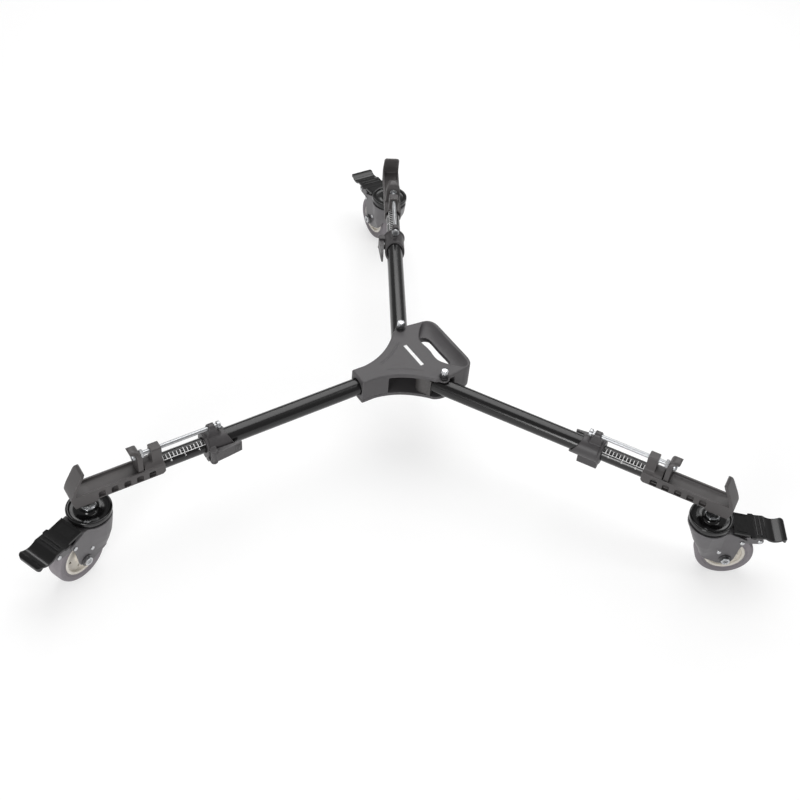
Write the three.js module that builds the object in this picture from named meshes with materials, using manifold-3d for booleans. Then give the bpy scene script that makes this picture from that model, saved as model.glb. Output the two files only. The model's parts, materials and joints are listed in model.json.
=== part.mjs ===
// A folding three-arm tripod dolly, in millimetres, +Z up.
// A carry-handle hub holds one fixed arm (towards -Y) and two arms that fold down beside it.
// Each arm is a telescopic tube with a cam-lever collar, an end cradle for a tripod foot,
// a steel guide rod over the tube, and a swivel caster with a foot brake.

import * as THREE from 'three';
import { mergeVertices } from 'three/addons/utils/BufferGeometryUtils.js';
import Module from 'manifold-3d';

// Fits shared by the whole dolly
const fitGap = 0.3;
const runningGap = 0.5;
const cutOverrun = 2;
const weldDistance = 0.0001;

// Facets round a full turn
const fullTurn = 360;
const wheelSides = 28;
const tubeSides = 20;
const pinSides = 10;
const holeSides = 8;
const hexSides = 6;
const curveSteps = 3;

// Arms, seen from above: turned from +X
const fixedArmTurn = -90;
const leftArmTurn = 150;
const rightArmTurn = 30;

// Caster stack, up from the floor: the wheel, the swivel race, the kingpin's washer and nut
const wheelRadius = 40;
const raceBottom = 92.3;
const raceTop = 104.5;
const kingpinWasherHeight = 4;
const kingpinNutHeight = 8;
const kingpinNutTop = raceTop + fitGap + kingpinWasherHeight + kingpinNutHeight;

// Tubes: their axis stands over the casters by the cradle's end block, and one tube slides in the other
const cradleNutClearance = 5.2;
const cradleBlockDrop = 15;
const tubeAxisHeight = kingpinNutTop + cradleNutClearance + cradleBlockDrop;
const outerTubeRadius = 12.5;
const outerTubeWall = 1.2;
const outerTubeEnd = 300;
const outerTubeInnerRadius = outerTubeRadius - outerTubeWall;
const innerTubeRadius = outerTubeInnerRadius - fitGap;
const innerTubeWall = 1.4;
const innerTubeOverlap = 45;
const innerTubeShown = 102;
const innerTubeStart = outerTubeEnd - innerTubeOverlap;
const innerTubeEnd = outerTubeEnd + innerTubeShown;
const fixedTubeStart = 30;

// Hub: its shells over and under the tube axis and the plan of its outline, mirrored about X = 0
const hubTopRise = 20;
const hubBottomDrop = 21;
const hubTop = tubeAxisHeight + hubTopRise;
const hubBottom = tubeAxisHeight - hubBottomDrop;
const hubTopThickness = 6;
const hubBaseThickness = 5.7;
const hubTopBevel = 2.5;
const hubBaseBevel = 1.5;
const hubWall = 4;
const hubCeiling = hubTop - hubTopThickness;
const hubBaseTop = hubBottom + hubBaseThickness;
const hubSkirtBottom = hubBaseTop + fitGap;
const socketHalfWidth = 15.6;
const socketReach = 75;
const socketStraightReach = 55;
const flareControlX = 20;
const flareControlY = -13;
const shoulderX = 58;
const shoulderY = 20;
const sideBulgeX = 65;
const sideBulgeY = 32;
const handleSideX = 61;
const handleSideY = 47;
const handleCornerX = 58.5;
const handleCornerY = 68;
const handleEndX = 37;
const handleEndY = 88.5;
const windowStartY = -34;

// Hub: the hand slot, the dish that leads into it and the handle, which is open underneath
const slotNearY = 47;
const slotFarY = 65;
const slotNearHalfLength = 27;
const slotHalfLength = 36;
const dishFarY = 82.5;
const dishHalfLength = 54;
const dishDepth = 11;
const handlePocketCeiling = hubTop - dishDepth - hubTopThickness;
const basePlateEnd = 46;
const dishRingPoints = 28;

// Hub screws under the base plate: one at the front, two behind the folding arms
const screwRadius = 2;
const screwHeadRadius = 4;
const screwHeadDepth = 2.4;
const screwLength = 14;
const screwPostRadius = 5.2;
const frontScrewY = 11.3;
const rearScrewX = 22;
const rearScrewY = 39.5;
const screwPlaces = [
  { x: 0, y: frontScrewY },
  { x: -rearScrewX, y: rearScrewY },
  { x: rearScrewX, y: rearScrewY },
];

// Folding knuckles
const pivotReach = 40;
const pivotPinRadius = 4;
const pivotPinInset = 2.5;
const knuckleEndRadius = 14;
const knuckleHalfWidth = 13.4;
const knuckleShoulder = 54.3;
const spigotEnd = 92;

// Pull plungers that lock the folding arms
const plungerReach = 67.6;
const plungerPinRadius = 3;
const plungerHoleDepth = 3.2;
const plungerShoulderRadius = 4.1;
const plungerShoulderHeight = 1;
const plungerStemRadius = 1.6;
const plungerLedge = 1;
const knobRadius = 5.5;
const knobHeight = 8;
const knobFlutes = 8;
const knobFluteRadius = 0.7;
const bushRadius = 6;
const bushBore = plungerShoulderRadius + fitGap;
const bushRise = 4.5;
const bushRoof = 1.5;
const bushFlangeRadius = 7.4;
const bushFlangeHeight = 1.2;
const plungerBossRadius = 8.6;
const springWire = 0.5;
const springTurns = 3;
const springStepsPerTurn = 8;
const springSides = 5;

// Guide rod over the tube, with its stop ring and nuts
const rodAxisHeight = tubeAxisHeight + 28;
const rodRadius = 3;
const rodRingLength = 4.5;
const rodRingRadius = 5.4;
const rodNutRadius = 6;
const rodNutLength = 4.2;
const rodCapLength = 5;
const rodCapShoulderRadius = 4.8;
const rodCapShoulderLength = 4.25;

// Clamp collar over the end of each outer tube
const collarRadius = 16;
const collarLength = 51;
const collarOverhang = 15;
const collarEnd = outerTubeEnd + collarOverhang;
const collarStart = collarEnd - collarLength;
const collarSlantTopRun = 21.6;
const collarSlantBottomRun = 2.6;
const collarFlangeLength = 4;
const collarFlangeStart = collarEnd - collarFlangeLength;
const collarFlangeRadius = 17.6;
const collarEarHalfWidth = 9;
const collarEarBottom = tubeAxisHeight - 28;
const collarEarLength = 28;
const collarEarCorner = 4;
const collarSplit = 1.6;
const lugHalfWidth = 6;
const lugBaseLength = 18;
const lugBaseStart = collarFlangeStart - lugBaseLength;
const lugTopLength = 8;
const lugTopSetback = 4.5;
const lugTopEnd = collarFlangeStart - lugTopSetback;
const lugTopStart = lugTopEnd - lugTopLength;
const lugFootRadius = 4.5;
const lugFootStart = lugBaseStart - 2.5;
const rodStart = lugFootStart - 1;

// Cam lever on the collar's side
const leverPivotSetback = 2;
const leverPivotReach = collarFlangeStart - leverPivotSetback;
const leverPivotSide = 20.6;
const leverKnuckleRadius = 4.7;
const leverLength = 41;
const leverTipSide = 21.5;
const leverTipThickness = 3;
const leverInnerSide = 16.9;
const leverHeight = 16;
const leverTop = tubeAxisHeight + 3;
const leverBottom = leverTop - leverHeight;
const leverCheekThickness = 3.2;
const leverCheekRadius = 5.2;
const leverPinRadius = 1.8;

// Cradle casting on the inner tube: a socket, a shallow channel for the foot and an end block
const cradleTubeGrip = 27;
const cradleStart = innerTubeEnd - cradleTubeGrip;
const footRestLength = 78;
const casterReach = innerTubeEnd + footRestLength;
const cradleHalfWidth = 13.5;
const cradleWall = 6;
const cradleWallDrop = 11;
const cradleTopRise = 7;
const cradleTop = tubeAxisHeight + cradleTopRise;
const cradleBottom = tubeAxisHeight - cradleBlockDrop;
const cradleWallBottom = tubeAxisHeight - cradleWallDrop;
const cradleCorner = 2.5;
const cradleChamfer = 7;
const cradleSocketEnd = innerTubeEnd + 5;
const channelStart = innerTubeEnd + fitGap;
const channelDepth = 5;
const channelFloor = cradleTop - channelDepth;
const channelFloorHalfWidth = 8;
const channelHalfWidth = 10.8;
const channelSkin = 3.5;
const channelUnderside = channelFloor - channelSkin;
const channelRampLength = 20;
const channelRampRise = 2;
const endBlockStart = casterReach - 10.5;
const endBlockRecess = 2;
const cradlePocketCount = 5;
const cradlePocketFirst = cradleStart + 18.3;
const cradlePocketPitch = 17.5;
const cradlePocketRadius = 4.7;
const cradlePocketDepth = 3;
const cradlePocketTopDrop = 4.3;
const cradlePocketLedge = 2.3;

// The rod's bracket over the socket, and the lip that leans back over the channel
const bracketStart = cradleStart + 1;
const bracketLength = 14;
const bracketEnd = bracketStart + bracketLength;
const bracketHalfWidth = 7.5;
const bracketTop = rodAxisHeight + 6;
const bracketCorner = 3;
const bracketNeck = cradleTop + 8;
const lipBottomReach = casterReach + 19;
const lipBendOverhang = 5;
const lipBendReach = lipBottomReach + lipBendOverhang;
const lipBendHeight = tubeAxisHeight + 2;
const lipLean = 21;
const lipTipReach = lipBendReach - lipLean;
const lipShoulderHeight = cradleTop + 27;
const lipTipHeight = cradleTop + 36;
const lipThickness = 3.6;
const lipHalfWidth = 12.8;
const channelEnd = lipBendReach - 2 * lipThickness;

// Claw against the tube's end
const clawStart = innerTubeEnd + 2;
const clawThickness = 7;
const clawEnd = clawStart + clawThickness;
const clawSeatDepth = 0.8;
const clawWidePartHalfWidth = 11.5;
const clawArchStart = rodAxisHeight - 1;
const clawTop = rodAxisHeight + 14.5;
const clawCurlReach = clawStart + 14.5;
const clawCurlThickness = 4;

// Caster: the swivel above the fork
const fixedCasterTurn = 21.7;
const leftCasterTurn = 28;
const rightCasterTurn = 24.1;
const kingpinRadius = 5;
const kingpinHeadRadius = 8;
const kingpinHeadHeight = 3;
const kingpinWasherRadius = 10;
const kingpinNutRadius = 9.2;
const raceRimRadius = 30.3;
const raceRimInnerRadius = 25.5;
const raceLowerRadius = 27.5;
const raceRimHeight = 6.5;
const raceRimSoftness = 1.4;
const raceWellDepth = 3;
const raceBossRadius = 12;

// Caster: fork. Its hood is round under the race and turns into two flat cheeks below and behind
const forkTop = raceBottom - fitGap;
const forkCrownThickness = 6;
const forkCrownBottom = forkTop - forkCrownThickness;
const forkCrownRadius = 29.5;
const forkCrownDiscHeight = 3.5;
const forkHalfWidth = 20;
const forkWall = 3;
const forkCreaseX = 21;
const hoodSteps = 12;
const hoodCrownReach = 27.7;
const hoodShoulderHeight = 68;
const hoodShoulderReach = 19.5;
const hoodShoulderHalfWidth = 28.5;
const hoodLipHeight = 57;
const hoodLipReach = 12;
const hoodLipHalfWidth = 26.5;
const hoodCheekHeight = 45;
const hoodCheekReach = 6;
const hoodCheekHalfWidth = 22.5;
const hoodFootHeight = 20;
const hoodFootHalfWidth = 20.5;
const hoodSections = [
  { height: forkTop, reach: forkCrownRadius, halfWidth: forkCrownRadius, squareness: 2 },
  { height: forkCrownBottom, reach: hoodCrownReach, halfWidth: forkCrownRadius, squareness: 2.1 },
  { height: hoodShoulderHeight, reach: hoodShoulderReach, halfWidth: hoodShoulderHalfWidth, squareness: 2.6 },
  { height: hoodLipHeight, reach: hoodLipReach, halfWidth: hoodLipHalfWidth, squareness: 2.8 },
  { height: hoodCheekHeight, reach: hoodCheekReach, halfWidth: hoodCheekHalfWidth, squareness: 3 },
  { height: hoodFootHeight, reach: hoodCheekReach, halfWidth: hoodFootHalfWidth, squareness: 3 },
];
const forkFrontX = -10;
const forkFrontBendX = -6;
const forkFrontBendZ = 44;
const forkCheekX = 3;
const forkCheekZ = 39;
const forkToeX = 20;
const forkToeZ = 31;
const forkAxleLobe = 11;
const forkAxleLobeDrop = 13.2;
const forkBackX = 46;
const forkBackZ = 66;
const forkBackTopX = 52;
const forkBackTopZ = 82;
const forkRoofX = 27;

// Caster: wheel and axle
const wheelTrail = 32;
const tyreHalfWidth = 12;
const tyreTreadHalfWidth = 7;
const tyreShoulder = 1.6;
const wheelCentreRadius = 27.8;
const wheelRimHalfWidth = 11.5;
const wheelRimDepth = 4;
const wheelWebHalfWidth = 7.5;
const wheelHubRadius = 9;
const wheelHubHalfWidth = 13.5;
const wheelHoleCount = 5;
const wheelHoleRadius = 1.8;
const wheelHolePitchRadius = 17.5;
const axleRadius = 4;
const axleSpacerRadius = 6.4;
const axleWasherRadius = 8.6;
const axleWasherThickness = 1.4;
const axleNutRadius = 6.6;
const axleNutThickness = 3.4;

// Caster: brake arm and pedal
const brakePivotX = 46;
const brakePivotZ = 77;
const brakeLockAngle = 8;
const brakeArmRadius = 5.2;
const brakeArmEndX = 70;
const brakeArmEndZ = 79.5;
const brakeArmPlate = 2.3;
const brakeBridgeStart = 58;
const brakeBridgeThickness = 2.4;
const brakePadStart = 55;
const brakePadEnd = 63;
const brakePadHalfWidth = 9;
const brakeRivetRadius = 2.2;
const brakeRivetHeadRadius = 3.2;
const brakeRivetHeadHeight = 1;
const pedalStart = 31;
const pedalStartTop = 96;
const pedalPanelEnd = 52;
const pedalPanelTop = 93;
const pedalBandStart = 57;
const pedalBandEnd = 75;
const pedalBandTop = 92;
const pedalScoopMiddle = 87;
const pedalScoopTop = 87.6;
const pedalRidge = 99;
const pedalRidgeTop = 91.5;
const pedalTip = 105;
const pedalTipTop = 88;
const pedalTipBottom = 85;
const pedalThickness = 3;
const pedalPanelHalfWidth = 18.5;
const pedalHalfWidth = 20;
const pedalEarHalfWidth = 21.8;
const pedalEarLength = 6;
const pedalCorner = 4;
const brakeBridgeTop = pedalBandTop - pedalThickness - fitGap;

// Finishes
const finishes = {
  castHub: { color: 0x5f5d5f, roughness: 0.55, metalness: 0.1 },
  castGrey: { color: 0x6b6766, roughness: 0.55, metalness: 0.15 },
  blackTube: { color: 0x151416, roughness: 0.22, metalness: 0.4 },
  blackGloss: { color: 0x0d0c0f, roughness: 0.18, metalness: 0.3 },
  darkPlastic: { color: 0x3e3b3d, roughness: 0.6, metalness: 0 },
  brightSteel: { color: 0xd6d8da, roughness: 0.2, metalness: 1 },
  forkGrey: { color: 0x7b777a, roughness: 0.5, metalness: 0.05 },
  tyreGrey: { color: 0x77707a, roughness: 0.7, metalness: 0 },
  creamPlastic: { color: 0xe6e0da, roughness: 0.5, metalness: 0 },
};

// Each use of a finish gets its own material
function finish(name) {
  return new THREE.MeshStandardMaterial({ ...finishes[name], flatShading: true });
}

// Merges shared corners, drops triangles without area and turns the faces outwards
function weld(geometry) {
  const bare = geometry.clone();
  bare.deleteAttribute('normal');
  bare.deleteAttribute('uv');
  const merged = mergeVertices(bare, weldDistance);
  const index = merged.index.array;
  const place = merged.attributes.position;
  const kept = [];
  let volume = 0;
  const a = new THREE.Vector3();
  const b = new THREE.Vector3();
  const c = new THREE.Vector3();
  for (let i = 0; i < index.length; i += 3) {
    const [p, q, r] = [index[i], index[i + 1], index[i + 2]];
    if (p === q || q === r || r === p) continue;
    kept.push(p, q, r);
    a.fromBufferAttribute(place, p);
    b.fromBufferAttribute(place, q);
    c.fromBufferAttribute(place, r);
    volume += a.dot(b.cross(c));
  }
  merged.setIndex(volume < 0 ? kept.reverse() : kept);
  merged.clearGroups();
  return merged;
}

function toSolid(geometry) {
  const welded = weld(geometry);
  return new wasm.Manifold(new wasm.Mesh({
    numProp: 3,
    vertProperties: new Float32Array(welded.attributes.position.array),
    triVerts: new Uint32Array(welded.index.array),
  }));
}

function toGeometry(solid) {
  const mesh = solid.getMesh();
  const geometry = new THREE.BufferGeometry();
  geometry.setAttribute('position', new THREE.BufferAttribute(new Float32Array(mesh.vertProperties), 3));
  geometry.setIndex(new THREE.BufferAttribute(new Uint32Array(mesh.triVerts), 1));
  return geometry;
}

function join(first, ...others) {
  return toGeometry(others.reduce((sum, other) => sum.add(toSolid(other)), toSolid(first)));
}

function cut(body, ...tools) {
  return toGeometry(tools.reduce((rest, tool) => rest.subtract(toSolid(tool)), toSolid(body)));
}

function common(first, second) {
  return toGeometry(toSolid(first).intersect(toSolid(second)));
}

// Round bars and boxes between two stations on an axis
function barZ(radius, low, high, sides, x = 0, y = 0) {
  const bar = new THREE.CylinderGeometry(radius, radius, high - low, sides);
  return bar.rotateX(Math.PI / 2).translate(x, y, (low + high) / 2);
}

function barX(radius, low, high, sides, y = 0, z = 0) {
  const bar = new THREE.CylinderGeometry(radius, radius, high - low, sides);
  return bar.rotateZ(-Math.PI / 2).translate((low + high) / 2, y, z);
}

function barY(radius, low, high, sides, x = 0, z = 0) {
  return new THREE.CylinderGeometry(radius, radius, high - low, sides).translate(x, (low + high) / 2, z);
}

function block(x0, x1, y0, y1, z0, z1) {
  const box = new THREE.BoxGeometry(x1 - x0, y1 - y0, z1 - z0);
  return box.translate((x0 + x1) / 2, (y0 + y1) / 2, (z0 + z1) / 2);
}

// Prisms: an outline drawn in two axes and run along the third
function prismZ(outline, low, high) {
  const settings = { depth: high - low, bevelEnabled: false, curveSegments: curveSteps };
  return new THREE.ExtrudeGeometry(outline, settings).translate(0, 0, low);
}

function prismY(outline, low, high) {
  const settings = { depth: high - low, bevelEnabled: false, curveSegments: curveSteps };
  return new THREE.ExtrudeGeometry(outline, settings).rotateX(Math.PI / 2).translate(0, high, 0);
}

function prismX(outline, low, high) {
  const settings = { depth: high - low, bevelEnabled: false, curveSegments: curveSteps };
  const prism = new THREE.ExtrudeGeometry(outline, settings);
  return prism.rotateX(Math.PI / 2).rotateZ(Math.PI / 2).translate(low, 0, 0);
}

// Turned pieces: a profile of [radius, station] pairs spun about an axis
function turnedZ(profile, sides) {
  const points = profile.map(([radius, station]) => new THREE.Vector2(radius, station));
  return weld(new THREE.LatheGeometry(points, sides).rotateX(Math.PI / 2));
}

function turnedX(profile, sides) {
  const points = profile.map(([radius, station]) => new THREE.Vector2(radius, station));
  return weld(new THREE.LatheGeometry(points, sides).rotateZ(-Math.PI / 2));
}

function turnedY(profile, sides) {
  const points = profile.map(([radius, station]) => new THREE.Vector2(radius, station));
  return weld(new THREE.LatheGeometry(points, sides));
}

function ringProfile(outerRadius, innerRadius, low, high) {
  return [[innerRadius, low], [outerRadius, low], [outerRadius, high], [innerRadius, high], [innerRadius, low]];
}

function polygon(points) {
  return new THREE.Shape(points.map(([x, y]) => new THREE.Vector2(x, y)));
}

function piece(parent, name, geometry, finishName) {
  const welded = weld(geometry);
  welded.computeVertexNormals();
  const mesh = new THREE.Mesh(welded, finish(finishName));
  mesh.name = name;
  parent.add(mesh);
  return mesh;
}

// The hub seen from above: narrow at the socket end, flaring out, and broad round the handle
function hubOutline() {
  const outline = new THREE.Shape();
  outline.moveTo(-socketHalfWidth, -socketReach);
  outline.lineTo(socketHalfWidth, -socketReach);
  outline.lineTo(socketHalfWidth, -socketStraightReach);
  outline.quadraticCurveTo(flareControlX, flareControlY, shoulderX, shoulderY);
  outline.quadraticCurveTo(sideBulgeX, sideBulgeY, handleSideX, handleSideY);
  outline.lineTo(handleCornerX, handleCornerY);
  outline.quadraticCurveTo(handleCornerX, handleEndY, handleEndX, handleEndY);
  outline.lineTo(-handleEndX, handleEndY);
  outline.quadraticCurveTo(-handleCornerX, handleEndY, -handleCornerX, handleCornerY);
  outline.lineTo(-handleSideX, handleSideY);
  outline.quadraticCurveTo(-sideBulgeX, sideBulgeY, -shoulderX, shoulderY);
  outline.quadraticCurveTo(-flareControlX, flareControlY, -socketHalfWidth, -socketStraightReach);
  return outline;
}

// A slab of the hub's outline with its top and bottom edges bevelled
function hubSlab(low, high, bevel) {
  const settings = {
    depth: high - low - 2 * bevel,
    bevelThickness: bevel,
    bevelSize: bevel,
    bevelOffset: -bevel,
    bevelSegments: 1,
    curveSegments: 2 * curveSteps,
  };
  return new THREE.ExtrudeGeometry(hubOutline(), settings).translate(0, 0, low + bevel);
}

// A closed ring of points through a few plan points, all at one height
function smoothRing(planPoints, height) {
  const through = planPoints.map(([x, y]) => new THREE.Vector3(x, y, height));
  const curve = new THREE.CatmullRomCurve3(through, true, 'centripetal');
  return curve.getPoints(dishRingPoints).slice(0, dishRingPoints);
}

// A closed skin over rings with equal numbers of points, capped flat at both ends
function loft(rings) {
  const count = rings[0].length;
  const place = rings.flat().flatMap((p) => [p.x, p.y, p.z]);
  const faces = [];
  for (let ring = 0; ring < rings.length - 1; ring += 1) {
    for (let i = 0; i < count; i += 1) {
      const a = ring * count + i;
      const b = ring * count + (i + 1) % count;
      faces.push(a, b, b + count, a, b + count, a + count);
    }
  }
  const flat = rings[0].map((p) => new THREE.Vector2(p.x, p.y));
  const last = (rings.length - 1) * count;
  for (const [a, b, c] of THREE.ShapeUtils.triangulateShape(flat, [])) {
    faces.push(a, c, b);
    faces.push(last + a, last + b, last + c);
  }
  const geometry = new THREE.BufferGeometry();
  geometry.setAttribute('position', new THREE.Float32BufferAttribute(place, 3));
  geometry.setIndex(faces);
  return geometry;
}

function slotPlan() {
  const middle = (slotNearY + slotFarY) / 2;
  return [
    [0, slotNearY],
    [slotNearHalfLength, slotNearY],
    [slotHalfLength, middle],
    [slotNearHalfLength, slotFarY],
    [0, slotFarY],
    [-slotNearHalfLength, slotFarY],
    [-slotHalfLength, middle],
    [-slotNearHalfLength, slotNearY],
  ];
}

function dishPlan() {
  const middle = (slotFarY + dishFarY) / 2 - hubWall;
  return [
    [0, slotNearY - fitGap],
    [slotNearHalfLength, slotNearY - fitGap],
    [dishHalfLength, middle],
    [dishHalfLength - 2 * hubWall, dishFarY],
    [0, dishFarY],
    [-dishHalfLength + 2 * hubWall, dishFarY],
    [-dishHalfLength, middle],
    [-slotNearHalfLength, slotNearY - fitGap],
  ];
}

function handSlotCut() {
  const outline = new THREE.Shape(smoothRing(slotPlan(), 0).map((p) => new THREE.Vector2(p.x, p.y)));
  return prismZ(outline, hubBottom - cutOverrun, hubTop + cutOverrun);
}

// The line beside the right arm, an offset away from its axis: Y at any X
function flankLine(offset) {
  const turn = THREE.MathUtils.degToRad(rightArmTurn);
  const apex = offset / Math.cos(turn);
  return (x) => apex + x * Math.tan(turn);
}

// The space between the plates that the knuckles and the folding tubes sweep
function armPocket() {
  const flank = flankLine(knuckleEndRadius + runningGap);
  const far = handleSideX + knuckleEndRadius;
  const outline = polygon([
    [0, flank(0)],
    [-far, flank(far)],
    [-far, windowStartY],
    [far, windowStartY],
    [far, flank(far)],
  ]);
  return prismZ(outline, hubBottom - cutOverrun, hubCeiling);
}

// The hollow behind the arms and inside the handle
function handlePocket() {
  const flank = flankLine(knuckleEndRadius + runningGap + hubWall);
  const side = handleCornerX - hubWall;
  const end = handleEndY - hubWall;
  const outline = new THREE.Shape();
  outline.moveTo(0, flank(0));
  outline.lineTo(side, flank(side));
  outline.lineTo(side, handleCornerY);
  outline.quadraticCurveTo(side, end, handleEndX, end);
  outline.lineTo(-handleEndX, end);
  outline.quadraticCurveTo(-side, end, -side, handleCornerY);
  outline.lineTo(-side, flank(side));
  return prismZ(outline, hubBottom - cutOverrun, handlePocketCeiling);
}

function onArm(turn, reach) {
  const angle = THREE.MathUtils.degToRad(turn);
  return { x: reach * Math.cos(angle), y: reach * Math.sin(angle) };
}

const foldingTurns = [leftArmTurn, rightArmTurn];
const pivotPinBottom = hubBottom + pivotPinInset;
const pivotPinTop = hubTop - pivotPinInset;
const plungerShelf = hubCeiling + plungerLedge;

function hubBody() {
  const bosses = foldingTurns.map((turn) => {
    const place = onArm(turn, plungerReach);
    return barZ(plungerBossRadius, hubCeiling, hubTop - hubTopBevel, tubeSides, place.x, place.y);
  });
  const rough = join(hubSlab(hubBottom, hubTop, hubTopBevel), ...bosses);
  const cavity = [
    block(-handleSideX * 2, handleSideX * 2, -socketReach * 2, basePlateEnd + fitGap, 0, hubSkirtBottom),
    armPocket(),
    handlePocket(),
    handSlotCut(),
    loft([
      smoothRing(slotPlan(), hubTop - dishDepth),
      smoothRing(dishPlan(), hubTop),
      smoothRing(dishPlan(), hubTop + cutOverrun),
    ]),
    barY(
      outerTubeRadius + fitGap, -socketReach - cutOverrun, windowStartY + cutOverrun,
      tubeSides, 0, tubeAxisHeight,
    ),
  ];
  const hollowed = cut(rough, ...cavity);
  const posts = screwPlaces.map(({ x, y }) =>
    barZ(screwPostRadius, hubSkirtBottom, hubCeiling, pinSides, x, y));
  const screwTop = hubBottom + screwLength + fitGap;
  const holes = screwPlaces.map(({ x, y }) => barZ(screwRadius + fitGap, 0, screwTop, holeSides, x, y));
  foldingTurns.forEach((turn) => {
    const pivot = onArm(turn, pivotReach);
    const plunger = onArm(turn, plungerReach);
    const pinTop = pivotPinTop + fitGap;
    holes.push(barZ(pivotPinRadius + fitGap, hubCeiling - cutOverrun, pinTop, pinSides, pivot.x, pivot.y));
    holes.push(barZ(plungerPinRadius + fitGap, 0, hubTop + cutOverrun, pinSides, plunger.x, plunger.y));
    holes.push(barZ(bushRadius + fitGap, plungerShelf, hubTop + cutOverrun, tubeSides, plunger.x, plunger.y));
  });
  return cut(join(hollowed, ...posts), ...holes);
}

function basePlate() {
  const pinHoles = foldingTurns.map((turn) => {
    const pivot = onArm(turn, pivotReach);
    return barZ(pivotPinRadius + fitGap, pivotPinBottom - fitGap, hubTop, pinSides, pivot.x, pivot.y);
  });
  const screwHoles = screwPlaces.flatMap(({ x, y }) => [
    barZ(screwRadius + fitGap, 0, hubTop, holeSides, x, y),
    barZ(screwHeadRadius + fitGap, 0, hubBottom + screwHeadDepth + fitGap, pinSides, x, y),
  ]);
  const pastPlate = block(-handleSideX * 2, handleSideX * 2, basePlateEnd, handleEndY * 2, 0, hubTop);
  return cut(hubSlab(hubBottom, hubBaseTop, hubBaseBevel), pastPlate, ...pinHoles, ...screwHoles);
}

function baseScrew({ x, y }) {
  const head = hubBottom + screwHeadDepth;
  const profile = [
    [0, hubBottom + fitGap],
    [screwHeadRadius, hubBottom + fitGap],
    [screwHeadRadius, head],
    [screwRadius, head],
    [screwRadius, hubBottom + screwLength],
    [0, hubBottom + screwLength],
  ];
  return turnedZ(profile, holeSides).translate(x, y, 0);
}

function plungerBush() {
  const low = plungerShelf + fitGap;
  const high = hubTop + bushRise;
  const flange = hubTop + fitGap;
  const profile = [
    [bushBore, low],
    [bushRadius, low],
    [bushRadius, flange],
    [bushFlangeRadius, flange],
    [bushFlangeRadius, flange + bushFlangeHeight],
    [bushRadius, flange + bushFlangeHeight],
    [bushRadius, high],
    [plungerStemRadius + fitGap, high],
    [plungerStemRadius + fitGap, high - bushRoof],
    [bushBore, high - bushRoof],
    [bushBore, low],
  ];
  return turnedZ(profile, pinSides);
}

// The pull plunger: pin over the arm's locking hole, shoulder under the spring, stem and fluted knob
function plunger() {
  const tip = tubeAxisHeight + outerTubeRadius + runningGap;
  const shoulder = plungerShelf + fitGap;
  const knob = hubTop + bushRise + runningGap;
  const turned = turnedZ([
    [0, tip],
    [plungerPinRadius, tip],
    [plungerPinRadius, shoulder],
    [plungerShoulderRadius, shoulder],
    [plungerShoulderRadius, shoulder + plungerShoulderHeight],
    [plungerStemRadius, shoulder + plungerShoulderHeight],
    [plungerStemRadius, knob],
    [knobRadius - knobFluteRadius, knob],
    [knobRadius, knob + knobFluteRadius],
    [knobRadius, knob + knobHeight - knobFluteRadius],
    [knobRadius - knobFluteRadius, knob + knobHeight],
    [0, knob + knobHeight],
  ], 2 * knobFlutes);
  const flutes = [];
  for (let i = 0; i < knobFlutes; i += 1) {
    const place = onArm((i * fullTurn) / knobFlutes, knobRadius + knobFluteRadius / 2);
    const high = knob + knobHeight + cutOverrun;
    flutes.push(barZ(knobFluteRadius, knob - cutOverrun, high, hexSides, place.x, place.y));
  }
  return cut(turned, ...flutes);
}

// A helix of round wire between the plunger's shoulder and the bush's roof
function plungerSpring() {
  const low = plungerShelf + fitGap + plungerShoulderHeight + fitGap + springWire / 2;
  const high = hubTop + bushRise - bushRoof - fitGap - springWire / 2;
  const radius = (bushBore + plungerStemRadius) / 2;
  const steps = springTurns * springStepsPerTurn;
  const place = [];
  const faces = [];
  for (let i = 0; i <= steps; i += 1) {
    const angle = (2 * Math.PI * i) / springStepsPerTurn;
    for (let j = 0; j < springSides; j += 1) {
      const round = (2 * Math.PI * j) / springSides;
      const out = radius + (springWire / 2) * Math.cos(round);
      const up = (springWire / 2) * Math.sin(round) + low + ((high - low) * i) / steps;
      place.push(out * Math.cos(angle), out * Math.sin(angle), up);
      if (i === steps) continue;
      const a = i * springSides + j;
      const b = i * springSides + ((j + 1) % springSides);
      faces.push(a, b, b + springSides, a, b + springSides, a + springSides);
    }
  }
  const last = steps * springSides;
  for (let j = 1; j < springSides - 1; j += 1) {
    faces.push(0, j + 1, j, last, last + j, last + j + 1);
  }
  const geometry = new THREE.BufferGeometry();
  geometry.setAttribute('position', new THREE.Float32BufferAttribute(place, 3));
  geometry.setIndex(faces);
  return geometry;
}

// Knuckle of a folding arm: a rounded block on the pivot pin and a spigot inside the tube
function knuckle() {
  const low = hubSkirtBottom + fitGap;
  const high = hubCeiling - runningGap;
  const blockPart = block(pivotReach, knuckleShoulder, -knuckleHalfWidth, knuckleHalfWidth, low, high);
  const roundEnd = barZ(knuckleEndRadius, low, high, tubeSides, pivotReach);
  const spigotRadius = outerTubeInnerRadius - fitGap;
  const spigot = barX(spigotRadius, knuckleShoulder - cutOverrun, spigotEnd, tubeSides, 0, tubeAxisHeight);
  const socket = tubeAxisHeight + outerTubeRadius - plungerHoleDepth;
  return cut(
    join(blockPart, roundEnd, spigot),
    barZ(pivotPinRadius + fitGap, 0, hubTop, pinSides, pivotReach),
    barZ(plungerPinRadius + fitGap, socket, hubTop, pinSides, plungerReach),
  );
}

function pivotPin() {
  return barZ(pivotPinRadius, pivotPinBottom, pivotPinTop, pinSides, pivotReach);
}

function tube(outerRadius, innerRadius, start, end) {
  const ring = turnedX(ringProfile(outerRadius, innerRadius, start, end), tubeSides);
  return ring.translate(0, 0, tubeAxisHeight);
}

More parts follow.
